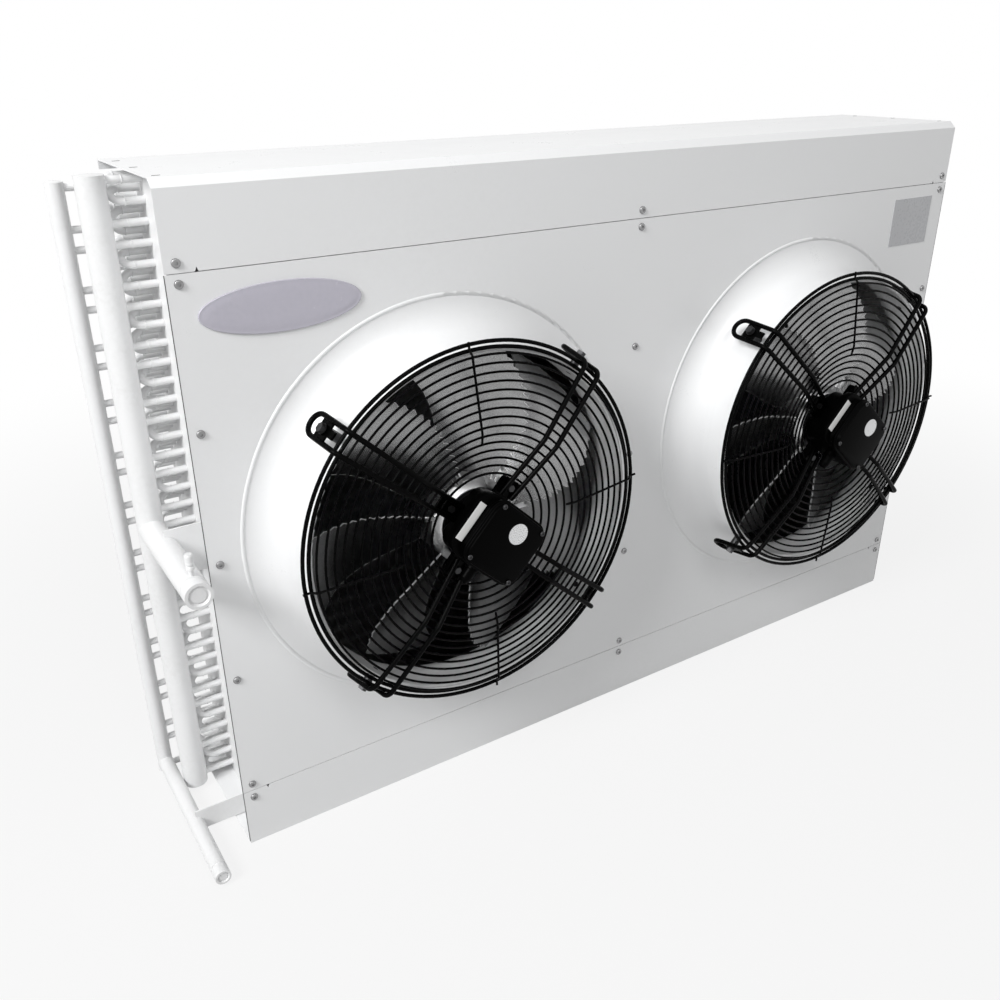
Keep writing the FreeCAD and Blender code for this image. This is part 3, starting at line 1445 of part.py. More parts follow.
def make_fan(side, name, blade_angle):
    make_motor_flange(side, f"{name}_motor_flange")
    make_stator(side, f"{name}_stator_core")
    make_bearings(side, f"{name}_bearings")
    make_shaft(side, f"{name}_shaft")
    make_rotor_can(side, f"{name}_rotor_can")
    make_blades(side, f"{name}_blades", blade_angle)
    make_guard(side, name)
    make_guard_bolts(side, f"{name}_guard_bolts")
    make_terminal_box(side, f"{name}_terminal_box")
    make_terminal_lid(side, f"{name}_terminal_lid")
    make_terminal_screws(side, f"{name}_terminal_screws")
    make_cable_gland(side, f"{name}_cable_gland")


def check_and_write():
    """Recomputes, refuses failed or invalid pieces, then writes one file for each node."""
    doc.recompute()
    for item in doc.Objects:
        if "Invalid" in item.State or "Error" in item.State:
            raise RuntimeError(f"{item.Label} failed: {item.State}")
    os.makedirs("parts", exist_ok=True)
    for item in nodes:
        if item.Shape.isNull() or not item.Shape.isValid() or not item.Shape.Solids:
            raise RuntimeError(f"{item.Label} has no valid solid")
    for item in nodes:
        item.Shape.exportStep(f"parts/{item.Label}.step")
        print(item.Label, len(item.Shape.Solids), round(item.Shape.Volume / 1000, 2))


make_top_cover()
make_fan_panel()
make_bottom_pan()
make_end_plate(-1, "end_plate_left")
make_end_plate(1, "end_plate_right")
make_partition()
make_casing_screws()
make_badge()
make_rating_plate()
make_coil()
make_fan(-1, "left_fan", s.left_blade_angle)
make_fan(1, "right_fan", s.right_blade_angle)
check_and_write()
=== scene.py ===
"""The visual model of an air-cooled refrigeration condenser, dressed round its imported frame.

X runs along the front to the right, Y back through the coil and Z up, in metres. The origin is
the middle of the casing's underside.
"""

import logging
import math
from collections.abc import Callable, Iterable
from dataclasses import dataclass, field
from enum import Enum

import bmesh
import bpy
from mathutils import Matrix, Vector


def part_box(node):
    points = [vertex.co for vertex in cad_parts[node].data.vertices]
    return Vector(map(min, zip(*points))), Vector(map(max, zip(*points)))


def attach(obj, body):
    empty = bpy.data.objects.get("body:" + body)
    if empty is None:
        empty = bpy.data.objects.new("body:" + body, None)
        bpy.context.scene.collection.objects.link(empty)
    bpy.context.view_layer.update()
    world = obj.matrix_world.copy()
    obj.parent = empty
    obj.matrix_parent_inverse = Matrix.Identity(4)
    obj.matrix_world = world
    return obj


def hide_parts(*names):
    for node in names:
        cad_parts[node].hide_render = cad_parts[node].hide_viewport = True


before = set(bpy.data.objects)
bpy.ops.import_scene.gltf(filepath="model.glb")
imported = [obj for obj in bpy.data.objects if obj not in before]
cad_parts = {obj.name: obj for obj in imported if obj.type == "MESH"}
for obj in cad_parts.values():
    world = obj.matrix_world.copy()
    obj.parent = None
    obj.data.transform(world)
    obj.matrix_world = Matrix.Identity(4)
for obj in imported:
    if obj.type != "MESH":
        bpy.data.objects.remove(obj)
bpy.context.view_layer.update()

log = logging.getLogger("condenser")

Colour = tuple[float, float, float]
Place = tuple[float, float, float]
CASING = "casing"
# Where each fan's axis is along the casing, and where the front face of the panel is
FANS = {"left_fan": -0.3465, "right_fan": 0.3465}
PANEL_Y = -0.121
COAT_ROUGHNESS = 0.12
# The range of a grain's tone that spreads a finish's roughness, and those of the dust's two noises
TONE_RANGE = (0.3, 0.7)
CLOUD_RANGE = (0.42, 0.72)
SPECK_RANGE = (0.35, 0.75)


# Shared shader groups

class Grain(Enum):
    """The kinds of fine relief that a finish may have."""

    PEEL = "PaintPeel"
    CAST = "MouldTexture"
    BRUSHED = "BrushedLines"


@dataclass(frozen=True)
class Layers:
    """How the two layers of noise in a grain are made.

    Args:
        fine_detail: how many finer noises are added to the fine layer.
        broad_detail: how many finer noises are added to the broad layer.
        broad_share: the broad layer's scale as a share of the fine layer's.
        fine_stretch: the fine layer's scale along X, Y and Z.
        broad_stretch: the broad layer's scale along X, Y and Z.
    """

    fine_detail: float
    broad_detail: float
    broad_share: float
    fine_stretch: Place = (1.0, 1.0, 1.0)
    broad_stretch: Place = (1.0, 1.0, 1.0)


LAYERS = {
    Grain.PEEL: Layers(2.0, 3.0, 0.04),
    Grain.CAST: Layers(1.0, 3.0, 0.05),
    Grain.BRUSHED: Layers(4.0, 2.0, 0.12, (1.0, 0.06, 0.06), (1.0, 0.1, 0.1)),
}


def new_group(name: str, inputs: dict[str, float], outputs: dict[str, str]) -> bpy.types.NodeTree:
    """Starts a shader node group.

    Args:
        name: the group's name.
        inputs: the name and default value of each number that goes in.
        outputs: the name and socket type of each result.

    Returns:
        The group, with its input node named In and its output node named Out.
    """
    group = bpy.data.node_groups.new(name, "ShaderNodeTree")
    for label, value in inputs.items():
        socket = group.interface.new_socket(label, in_out="INPUT", socket_type="NodeSocketFloat")
        socket.default_value = value
    for label, kind in outputs.items():
        group.interface.new_socket(label, in_out="OUTPUT", socket_type=kind)
    group.nodes.new("NodeGroupInput").name = "In"
    group.nodes.new("NodeGroupOutput").name = "Out"
    return group


def add_node(tree: bpy.types.NodeTree, kind: str, settings: dict[str, object] | None = None,
             values: dict[str, object] | None = None) -> bpy.types.Node:
    """Adds a node and sets it up.

    Args:
        tree: the material, world or group that it goes in.
        kind: the node's type.
        settings: the node's own settings.
        values: the values of its unlinked sockets.

    Returns:
        The new node.
    """
    node = tree.nodes.new(kind)
    for label, value in (settings or {}).items():
        setattr(node, label, value)
    for label, value in (values or {}).items():
        node.inputs[label].default_value = value
    return node


def combine(tree: bpy.types.NodeTree, first: bpy.types.NodeSocket, second: bpy.types.NodeSocket | float,
            operation: str = "MULTIPLY") -> bpy.types.NodeSocket:
    """Joins two numbers with one Math node.

    Args:
        tree: where the node goes.
        first: the first number's socket.
        second: the second number's socket, or a plain number.
        operation: what the node does with them.

    Returns:
        The socket of the result.
    """
    node = add_node(tree, "ShaderNodeMath", {"operation": operation})
    tree.links.new(first, node.inputs[0])
    if isinstance(second, float):
        node.inputs[1].default_value = second
    else:
        tree.links.new(second, node.inputs[1])
    return node.outputs[0]


def noise_on_object(tree: bpy.types.NodeTree, scale: bpy.types.NodeSocket, detail: float,
                    stretch: Place = (1.0, 1.0, 1.0)) -> bpy.types.NodeSocket:
    """Adds a noise that is read on Object coordinates.

    Args:
        tree: where the nodes go.
        scale: the socket that gives the noise's scale.
        detail: how many finer noises are added to it.
        stretch: the scale of the coordinates along X, Y and Z.

    Returns:
        The socket of the noise's value.
    """
    where = add_node(tree, "ShaderNodeTexCoord")
    mapping = add_node(tree, "ShaderNodeMapping", values={"Scale": stretch})
    noise = add_node(tree, "ShaderNodeTexNoise", values={"Detail": detail})
    tree.links.new(where.outputs["Object"], mapping.inputs["Vector"])
    tree.links.new(mapping.outputs["Vector"], noise.inputs["Vector"])
    tree.links.new(scale, noise.inputs["Scale"])
    return noise.outputs["Fac"]


def make_grain_group(kind: Grain) -> bpy.types.NodeTree:
    """Builds the shared group of one grain.

    Args:
        kind: which grain.

    Returns:
        The group. Height is for a bump, and Tone, the mean of both layers, is for gloss.
    """
    layers = LAYERS[kind]
    group = new_group(kind.value, {"Scale": 300.0}, {"Height": "NodeSocketFloat", "Tone": "NodeSocketFloat"})
    scale = group.nodes["In"].outputs["Scale"]
    out = group.nodes["Out"]
    fine = noise_on_object(group, scale, layers.fine_detail, layers.fine_stretch)
    broad = noise_on_object(group, combine(group, scale, layers.broad_share), layers.broad_detail,
                            layers.broad_stretch)
    group.links.new(fine, out.inputs["Height"])
    group.links.new(combine(group, combine(group, fine, broad, "ADD"), 0.5), out.inputs["Tone"])
    return group


def make_soil_group() -> bpy.types.NodeTree:
    """Builds the shared group of dust and handling marks: broad clouds broken up by fine specks.

    Returns:
        The group. Mask is 1 where the soil shows most.
    """
    group = new_group("DustAndMarks", {"Cloud": 4.0, "Speck": 160.0, "Amount": 0.3},
                      {"Mask": "NodeSocketFloat"})
    source = group.nodes["In"]
    clouds = noise_on_object(group, source.outputs["Cloud"], 5.0)
    specks = noise_on_object(group, source.outputs["Speck"], 2.0)
    spread = add_node(group, "ShaderNodeMapRange",
                      values={"From Min": CLOUD_RANGE[0], "From Max": CLOUD_RANGE[1]})
    spots = add_node(group, "ShaderNodeMapRange",
                     values={"From Min": SPECK_RANGE[0], "From Max": SPECK_RANGE[1]})
    group.links.new(clouds, spread.inputs["Value"])
    group.links.new(specks, spots.inputs["Value"])
    mask = combine(group, spread.outputs["Result"], spots.outputs["Result"])
    mask = combine(group, mask, source.outputs["Amount"])
    group.links.new(mask, group.nodes["Out"].inputs["Mask"])
    return group


# Finishes

@dataclass(frozen=True)
class Finish:
    """One finish of a surface, with the sizes of its grain and soil in metres.

    Args:
        name: the material's name.
        colour: the clean colour.
        soiled: the colour where dust or handling shows most.
        roughness: the middle roughness.
        swing: how far the roughness varies over the surface.
        metallic: 1 for bare metal.
        coat: clear gloss over paint or film.
        mirror: the strength of the plain reflection, 0.5 for common paint.
        grain: the kind of fine relief.
        grain_size: the width of one grain.
        grain_height: how high the relief stands.
        cloud_size: the width of a patch of dust.
        soil: how much the soiled colour shows.
    """

    name: str
    colour: Colour
    soiled: Colour
    roughness: float
    swing: float = 0.08
    metallic: float = 0.0
    coat: float = 0.0
    mirror: float = 0.5
    grain: Grain = Grain.PEEL
    grain_size: float = 0.003
    grain_height: float = 0.00006
    cloud_size: float = 0.25
    soil: float = 0.3

    def build(self, groups: dict[str, bpy.types.NodeTree]) -> bpy.types.Material:
        """Makes the material.

        Args:
            groups: the shared shader groups by name.

        Returns:
            The finished material.
        """
        material = bpy.data.materials.new(self.name)
        material.use_nodes = True
        tree = material.node_tree
        shader = tree.nodes["Principled BSDF"]
        shader.inputs["Metallic"].default_value = self.metallic
        shader.inputs["Coat Weight"].default_value = self.coat
        shader.inputs["Coat Roughness"].default_value = COAT_ROUGHNESS
        shader.inputs["Specular IOR Level"].default_value = self.mirror
        grain = add_node(tree, "ShaderNodeGroup", {"node_tree": groups[self.grain.value]},
                         {"Scale": 1.0 / self.grain_size})
        soil = add_node(tree, "ShaderNodeGroup", {"node_tree": groups["DustAndMarks"]},
                        {"Cloud": 1.0 / self.cloud_size, "Amount": self.soil})
        paint = add_node(tree, "ShaderNodeMix", {"data_type": "RGBA"})
        paint.inputs["A"].default_value = (*self.colour, 1.0)
        paint.inputs["B"].default_value = (*self.soiled, 1.0)
        gloss = add_node(tree, "ShaderNodeMapRange", values={
            "From Min": TONE_RANGE[0], "From Max": TONE_RANGE[1],
            "To Min": self.roughness - self.swing, "To Max": self.roughness + self.swing})
        relief = add_node(tree, "ShaderNodeBump", values={"Strength": 1.0, "Distance": self.grain_height})
        tree.links.new(soil.outputs["Mask"], paint.inputs["Factor"])
        tree.links.new(paint.outputs["Result"], shader.inputs["Base Color"])
        tree.links.new(grain.outputs["Tone"], gloss.inputs["Value"])
        tree.links.new(gloss.outputs["Result"], shader.inputs["Roughness"])
        tree.links.new(grain.outputs["Height"], relief.inputs["Height"])
        tree.links.new(relief.outputs["Normal"], shader.inputs["Normal"])
        return material


FINISHES = (
    Finish("WhitePowderCoat", (0.80, 0.805, 0.81), (0.66, 0.66, 0.65), 0.34, coat=0.15,
           grain_size=0.0022, grain_height=0.00002, cloud_size=0.5, soil=0.12),
    Finish("GreyWhitePlatePaint", (0.81, 0.813, 0.816), (0.62, 0.62, 0.61), 0.42,
           grain_size=0.002, grain_height=0.00003, cloud_size=0.08, soil=0.4),
    Finish("WhitePipePaint", (0.76, 0.763, 0.766), (0.60, 0.60, 0.59), 0.36, coat=0.1,
           grain_size=0.004, grain_height=0.00008, cloud_size=0.06, soil=0.35),
    # Painted shade: the fins are far darker than bare aluminium and stand in for the shade deep in the
    # casing behind the fans
    Finish("FinSheet", (0.30, 0.301, 0.303), (0.16, 0.16, 0.16), 0.45, metallic=1.0,
           grain=Grain.BRUSHED, grain_size=0.002, grain_height=0.00001, cloud_size=0.1, soil=0.5),
    # Painted reflection: the blades are far darker than bare aluminium and stand in for the dark
    # surroundings that they reflect
    Finish("BladeSheet", (0.38, 0.381, 0.383), (0.20, 0.20, 0.202), 0.23, swing=0.03, metallic=1.0,
           grain=Grain.BRUSHED, grain_size=0.003, grain_height=0.000002, cloud_size=0.12, soil=0.35),
    Finish("RotorMetal", (0.60, 0.602, 0.605), (0.48, 0.48, 0.48), 0.30, metallic=1.0,
           grain=Grain.BRUSHED, grain_size=0.0015, grain_height=0.000002, cloud_size=0.05, soil=0.3),
    Finish("BlackGuardPaint", (0.0006, 0.0006, 0.0006), (0.0025, 0.0025, 0.0027), 0.26, mirror=0.035,
           grain_size=0.003, grain_height=0.00004, cloud_size=0.05, soil=0.4),
    Finish("BlackMouldedPlastic", (0.0006, 0.0006, 0.0006), (0.002, 0.002, 0.0021), 0.34, mirror=0.022,
           grain=Grain.CAST, grain_size=0.0009, grain_height=0.00005, cloud_size=0.06, soil=0.3),
    Finish("CoreSteel", (0.2, 0.2, 0.21), (0.1, 0.1, 0.1), 0.5, metallic=1.0, grain=Grain.BRUSHED),
    Finish("GroundSteel", (0.55, 0.55, 0.56), (0.4, 0.4, 0.4), 0.25, metallic=1.0,
           grain=Grain.BRUSHED, grain_size=0.0006, grain_height=0.00001),
    # Painted highlight: a bright skin that stands in for the light caught by the blades' cut edges
    Finish("PaintedEdgeHighlight", (0.88, 0.882, 0.885), (0.60, 0.60, 0.60), 0.34, metallic=0.6,
           grain_size=0.001, grain_height=0.00001, cloud_size=0.03, soil=0.5),
    # Painted shadow: a dark strip that stands in for the shadow in the gap at the panel's side edges
    Finish("PaintedSeamShadow", (0.10, 0.10, 0.102), (0.16, 0.16, 0.16), 0.6, mirror=0.2,
           grain=Grain.CAST, grain_size=0.001, grain_height=0.00004, cloud_size=0.05, soil=0.4),
    # Painted shade: a near-black inlay that stands in for the shade inside the roof's slots
    Finish("PaintedSlotShade", (0.012, 0.012, 0.012), (0.03, 0.03, 0.03), 0.55, mirror=0.15,
           grain=Grain.CAST, grain_size=0.0008, grain_height=0.00003, cloud_size=0.02, soil=0.3),
    Finish("BlackenedBolt", (0.05, 0.05, 0.052), (0.02, 0.02, 0.02), 0.36, metallic=0.9,
           grain_size=0.001, grain_height=0.00002, cloud_size=0.01, soil=0.4),
    Finish("DullZinc", (0.30, 0.30, 0.303), (0.15, 0.15, 0.15), 0.40, metallic=1.0,
           grain_size=0.001, grain_height=0.00002, cloud_size=0.008, soil=0.5),
    Finish("BadgeResin", (0.47, 0.455, 0.52), (0.40, 0.39, 0.45), 0.2, coat=0.4,
           grain_size=0.01, grain_height=0.00002, cloud_size=0.12, soil=0.5),
    Finish("PlateFilm", (0.46, 0.465, 0.48), (0.38, 0.385, 0.40), 0.3, coat=0.2,
           grain_size=0.004, grain_height=0.00001, cloud_size=0.03, soil=0.4),
    Finish("PaperLabel", (0.78, 0.78, 0.77), (0.62, 0.62, 0.60), 0.5,
           grain_size=0.001, grain_height=0.00001, cloud_size=0.02, soil=0.3),
    Finish("SilverSticker", (0.66, 0.665, 0.67), (0.5, 0.5, 0.5), 0.3, metallic=0.6,
           grain_size=0.002, grain_height=0.00001, cloud_size=0.02, soil=0.3),
)

NODE_FINISHES = {
    "WhitePowderCoat": ("top_cover", "fan_panel", "bottom_pan"),
    "GreyWhitePlatePaint": ("end_plate_left", "end_plate_right", "partition_plate", "hairpin_tubes",
                            "return_bends", "gas_stubs", "liquid_stubs", "inlet_bracket", "outlet_bracket",
                            "service_valve"),
    "WhitePipePaint": ("gas_header", "gas_header_caps", "liquid_header", "liquid_header_caps",
                       "gas_inlet_pipe", "liquid_outlet_pipe", "gas_inlet_cap", "liquid_outlet_cap",
                       "valve_cap"),
    "FinSheet": ("fin_block",),
    "DullZinc": ("casing_screws", "bracket_rivets"),
    "BadgeResin": ("badge_plate",),
    "PlateFilm": ("rating_plate",),
}

FAN_FINISHES = {
    "BlackGuardPaint": ("motor_flange", "guard_rings", "guard_spokes", "guard_arms"),
    "BlackMouldedPlastic": ("terminal_box", "terminal_lid", "cable_gland"),
    "CoreSteel": ("stator_core",),
    "GroundSteel": ("bearings", "shaft"),
    "RotorMetal": ("rotor_can",),
    "BladeSheet": ("blades",),
    "BlackenedBolt": ("guard_bolts", "terminal_screws"),
}


@dataclass
class PaintShop:
    """Makes each material once and dresses the carried-over nodes with them.

    Args:
        materials: the finished materials by name.
    """

    materials: dict[str, bpy.types.Material] = field(default_factory=dict)

    def open(self) -> None:
        """Builds the shared groups and every finish."""
        groups = {kind.value: make_grain_group(kind) for kind in Grain}
        groups["DustAndMarks"] = make_soil_group()
        for finish in FINISHES:
            self.materials[finish.name] = finish.build(groups)

    def dress(self, node: str, finish: str) -> None:
        """Gives a carried-over node its finish."""
        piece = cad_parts[node]
        piece.data.materials.clear()
        piece.data.materials.append(self.materials[finish])

    def dress_nodes(self) -> None:
        """Gives every carried-over node its finish."""
        for finish, nodes in NODE_FINISHES.items():
            for node in nodes:
                self.dress(node, finish)
        for finish, nodes in FAN_FINISHES.items():
            for node in nodes:
                for fan in FANS:
                    self.dress(f"{fan}_{node}", finish)


# Making pieces as by hand

def clear_selection() -> None:
    """Leaves edit mode and deselects everything."""
    if bpy.context.mode != "OBJECT":
        bpy.ops.object.mode_set(mode="OBJECT")
    bpy.ops.object.select_all(action="DESELECT")


def work_on(piece: bpy.types.Object) -> None:
    """Selects one piece alone and makes it active."""
    clear_selection()
    piece.select_set(True)
    bpy.context.view_layer.objects.active = piece


def start_piece(add: Callable[..., set[str]], **sizes: object) -> bpy.types.Object:
    """Adds a primitive and returns it as the active piece.

    Args:
        add: the primitive's operator.
        sizes: what the operator takes.

    Returns:
        The new object.
    """
    clear_selection()
    add(**sizes)
    return bpy.context.view_layer.objects.active


def pick_faces(piece: bpy.types.Object, test: Callable[[Vector, Vector], bool]) -> None:
    """In edit mode, selects the faces that pass a test, and nothing else.

    Args:
        piece: the piece that is being edited.
        test: what a face's centre and normal have to pass.
    """
    bpy.ops.mesh.select_mode(type="FACE")
    shell = bmesh.from_edit_mesh(piece.data)
    for face in shell.faces:
        face.select_set(False)
    for face in shell.faces:
        if test(face.calc_center_median(), face.normal):
            face.select_set(True)
    bmesh.update_edit_mesh(piece.data)


def pick_verts(piece: bpy.types.Object, test: Callable[[Vector], bool]) -> None:
    """In edit mode, selects the vertices that pass a test, and nothing else.

    Args:
        piece: the piece that is being edited.
        test: what a vertex's place has to pass.
    """
    bpy.ops.mesh.select_mode(type="VERT")
    shell = bmesh.from_edit_mesh(piece.data)
    for vert in shell.verts:
        vert.select_set(test(vert.co))
    shell.select_flush_mode()
    bmesh.update_edit_mesh(piece.data)


def apply_place(piece: bpy.types.Object) -> None:
    """Moves a piece's place, turn and scale into its mesh."""
    work_on(piece)
    bpy.ops.object.transform_apply(location=True, rotation=True, scale=True)


def finish_with(piece: bpy.types.Object, kind: str, **values: object) -> None:
    """Adds a modifier, sets its values and applies it.

    Args:
        piece: the piece that gets it.
        kind: the modifier's type.
        values: its settings.
    """
    work_on(piece)
    modifier = piece.modifiers.new(kind.title(), kind)
    for label, value in values.items():
        setattr(modifier, label, value)
    bpy.ops.object.modifier_apply(modifier=modifier.name)


def copy_to(piece: bpy.types.Object, places: Iterable[Matrix], name: str) -> bpy.types.Object:
    """Copies a piece to each place and joins the copies into one piece.

    Args:
        piece: the piece that is modelled once; it is removed at the end.
        places: where each copy goes.
        name: the joined piece's name.

    Returns:
        The joined piece.
    """
    copies = []
    for place in places:
        copy = bpy.data.objects.new(name, piece.data.copy())
        copy.data.transform(place)
        bpy.context.scene.collection.objects.link(copy)
        copies.append(copy)
    bpy.data.objects.remove(piece)
    clear_selection()
    for copy in copies:
        copy.select_set(True)
    bpy.context.view_layer.objects.active = copies[0]
    bpy.ops.object.join()
    return copies[0]


def hand_over(piece: bpy.types.Object, name: str, body: str, material: bpy.types.Material,
              smooth: float = 35.0) -> bpy.types.Object:
    """Names a finished piece, dresses it and puts it on its body.

    Args:
        piece: the finished piece.
        name: its name, for its mesh too.
        body: the CAD body that it moves with.
        material: its material.
        smooth: the widest angle between faces that are shaded as one, in degrees.

    Returns:
        The same piece.
    """
    apply_place(piece)
    piece.name = name
    piece.data.name = name
    bpy.ops.object.shade_smooth_by_angle(angle=math.radians(smooth))
    piece.data.materials.clear()
    piece.data.materials.append(material)
    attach(piece, body)
    log.info("made %s with %d faces", name, len(piece.data.polygons))
    return piece


def background_rays(tree: bpy.types.NodeTree) -> bpy.types.NodeSocket:
    """The rays that see the background: 1 for the camera's, the reflected and the transmitted ones."""
    paths = add_node(tree, "ShaderNodeLightPath")
    seen = combine(tree, paths.outputs["Is Camera Ray"], paths.outputs["Is Glossy Ray"], "MAXIMUM")
    return combine(tree, seen, paths.outputs["Is Transmission Ray"], "MAXIMUM")


# Sub-assemblies

@dataclass
class Coil:
    """The fin pack, and the brazed joints of its tubes at the left end.

    The tubes stand in rows that count down from the top and in columns that count back from the front,
    every second column half a pitch lower. The rows go in groups, each with one stub less than rows.
    """

    shop: PaintShop
    fin_pitch: float = 0.0021
    fin_thickness: float = 0.0002
    ripple: float = 0.0008
    folds: int = 8
    rows: int = 36
    columns: int = 4
    row_pitch: float = 0.025
    column_pitch: float = 0.02165
    first_row: float = 0.02055
    first_column: float = 0.043
    joint_x: float = -0.678
    group_rows: int = 3
    row_without_stub: int = 1
    tube: float = 0.00476
    collar_gap: float = 0.0002
    collar_wire: float = 0.0008
    gas_face: float = -0.6962
    liquid_face: float = -0.7316

    def tube_place(self, row: int, column: int) -> tuple[float, float]:
        """The depth and the height of one tube's axis.

        Args:
            row: its row.
            column: its column.

        Returns:
            Its places along Y and Z.
        """
        drop = self.row_pitch / 2 if column % 2 else 0.0
        y = self.first_column + self.column_pitch * column
        return y, self.first_row + self.row_pitch * (self.rows - 1 - row) - drop

    def make_fins(self) -> None:
        """A stack of thin rippled fins in the place of the solid block."""
        low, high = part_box("fin_block")
        fin = start_piece(bpy.ops.mesh.primitive_grid_add, x_subdivisions=self.folds, y_subdivisions=1,
                          size=1.0, rotation=(math.radians(90), 0.0, math.radians(90)))
        apply_place(fin)
        wide = fin.dimensions
        depth, height = high.y - low.y, high.z - low.z
        fin.scale = (1.0, depth / wide.y, height / wide.z)
        fin.location = (low.x + self.ripple + self.fin_thickness, (low.y + high.y) / 2, (low.z + high.z) / 2)
        apply_place(fin)
        bpy.ops.object.mode_set(mode="EDIT")
        fold = depth / self.folds
        pick_verts(fin, lambda co: round((co.y - low.y) / fold) % 2 == 1)
        bpy.ops.transform.translate(value=(self.ripple, 0.0, 0.0))
        bpy.ops.object.mode_set(mode="OBJECT")
        finish_with(fin, "SOLIDIFY", thickness=self.fin_thickness)
        room = high.x - low.x - 2 * (self.ripple + self.fin_thickness)
        finish_with(fin, "ARRAY", count=int(room / self.fin_pitch) + 1, use_relative_offset=False,
                    use_constant_offset=True, constant_offset_displace=(self.fin_pitch, 0.0, 0.0))
        hand_over(fin, "fin_stack", CASING, self.shop.materials["FinSheet"], 15.0)
        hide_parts("fin_block")

    def make_joints(self) -> None:
        """A brazed collar on every tube end, and one where each stub enters its header."""
        collar = start_piece(bpy.ops.mesh.primitive_torus_add, major_radius=self.tube + self.collar_gap,
                             minor_radius=self.collar_wire, major_segments=20, minor_segments=6,
                             rotation=(0.0, math.radians(90), 0.0))
        apply_place(collar)
        places = [(self.joint_x, *self.tube_place(row, column))
                  for row in range(self.rows) for column in range(self.columns)]
        for row in range(self.rows):
            if row % self.group_rows != self.row_without_stub:
                places.append((self.gas_face, *self.tube_place(row, 0)))
                places.append((self.liquid_face, *self.tube_place(row, self.columns - 1)))
        joined = copy_to(collar, [Matrix.Translation(place) for place in places], "brazed_collars")
        hand_over(joined, "brazed_collars", CASING, self.shop.materials["GreyWhitePlatePaint"])

    def build(self) -> None:
        """Makes the coil's pieces."""
        self.make_fins()
        self.make_joints()


@dataclass
class Badge:
    """The oval badge: a resin plate with a bevelled edge and a raised rim, left bare.

    Args:
        shop: where its material comes from.
        edge: the width of the bevel along its sharp edges.
        rim: the width of the slope inside the rim.
        swell: how far that slope falls.
        step_width: the next step's width, as a share of the rim's.
        step_rise: how far that step rises, as a share of the fall.
        crown_width: the width of the slight crown's edge, as a share of the rim's.
        crown_rise: how far the crown rises, as a share of the fall.
    """

    shop: PaintShop
    edge: float = 0.0012
    rim: float = 0.0035
    swell: float = 0.0005
    step_width: float = 0.4
    step_rise: float = 0.6
    crown_width: float = 3
    crown_rise: float = 0.3

    def build(self) -> None:
        """Makes the badge in the place of its node."""
        low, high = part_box("badge_plate")
        long, thick, tall = high - low
        plate = start_piece(bpy.ops.mesh.primitive_cylinder_add, vertices=128, radius=long / 2,
                            depth=thick, location=(low + high) / 2, rotation=(math.radians(90), 0.0, 0.0))
        apply_place(plate)
        bpy.ops.object.mode_set(mode="EDIT")
        bpy.ops.mesh.select_all(action="SELECT")
        bpy.ops.transform.resize(value=(1.0, 1.0, tall / long), center_override=(low + high) / 2)
        pick_faces(plate, lambda centre, normal: normal.y < -0.9)
        for inward, back in ((self.rim, self.swell),
                             (self.rim * self.step_width, -self.swell * self.step_rise),
                             (self.rim * self.crown_width, -self.swell * self.crown_rise)):
            long, tall = long - inward * 2, tall - inward * 2
            bpy.ops.mesh.extrude_region_move()
            bpy.ops.transform.resize(value=(long / (long + inward * 2), 1.0, tall / (tall + inward * 2)),
                                     center_override=(low + high) / 2)
            bpy.ops.transform.translate(value=(0.0, back, 0.0))
        bpy.ops.object.mode_set(mode="OBJECT")
        finish_with(plate, "BEVEL", width=self.edge, segments=3, angle_limit=math.radians(60))
        hand_over(plate, "badge_resin", CASING, self.shop.materials["BadgeResin"])
        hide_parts("badge_plate")


@dataclass
class CasingTrim:
    """Painted shadow lines beside the front panel, and painted shade in the slots in the roof.

    The painted shadow lines start just above the foot of the casing and end at the top of the panel. The
    slots stand in rows across the roof, at the same distance from its middle on both sides.
    """

    shop: PaintShop
    seam_wide: float = 0.0009
    seam_deep: float = 0.0012
    seam_foot: float = 0.004
    seam_past_edge: float = 0.4
    seam_proud: float = 0.0002
    seam_round: float = 0.0002
    slot_long: float = 0.009
    slot_wide: float = 0.0022
    slot_thick: float = 0.0004
    slot_round: float = 0.45
    slot_proud: float = 0.1
    slot_x: float = 0.6718
    slot_rows: tuple[float, ...] = (-0.0965, -0.002, 0.082)

    def make_seam_shadow(self, name: str, side: float) -> None:
        """One upright dark strip that paints the shadow in the gap between an end plate's flange and the
        panel.

        Args:
            name: the strip's name.
            side: -1 for the left end of the casing and 1 for the right.
        """
        low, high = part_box("fan_panel")
        edge = high.x if side > 0 else low.x
        strip = start_piece(bpy.ops.mesh.primitive_cube_add, size=1.0)
        strip.scale = (self.seam_wide, self.seam_deep, high.z - self.seam_foot)
        strip.location = (edge + side * self.seam_wide * self.seam_past_edge,
                          PANEL_Y - self.seam_proud + self.seam_deep / 2, (high.z + self.seam_foot) / 2)
        apply_place(strip)
        finish_with(strip, "BEVEL", width=self.seam_round, segments=2)
        hand_over(strip, name, CASING, self.shop.materials["PaintedSeamShadow"])

    def make_slots(self) -> None:
        """Slim near-black inlays that paint the shade inside the roof's slots near both ends, with rounded
        ends.
        """
        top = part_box("top_cover")[1].z
        slot = start_piece(bpy.ops.mesh.primitive_cube_add, size=1.0)
        slot.scale = (self.slot_long, self.slot_wide, self.slot_thick)
        apply_place(slot)
        finish_with(slot, "BEVEL", width=self.slot_wide * self.slot_round, segments=4, affect="EDGES",
                    limit_method="ANGLE", angle_limit=math.radians(60))
        places = [Matrix.Translation((side * self.slot_x, y, top + self.slot_thick * self.slot_proud))
                  for side in (-1.0, 1.0) for y in self.slot_rows]
        joined = copy_to(slot, places, "roof_slot_shades")
        hand_over(joined, "roof_slot_shades", CASING, self.shop.materials["PaintedSlotShade"])

    def build(self) -> None:
        """Makes both painted seam shadows and the painted shade in the slots."""
        self.make_seam_shadow("left_edge_shadow_strip", -1.0)
        self.make_seam_shadow("right_edge_shadow_strip", 1.0)
        self.make_slots()


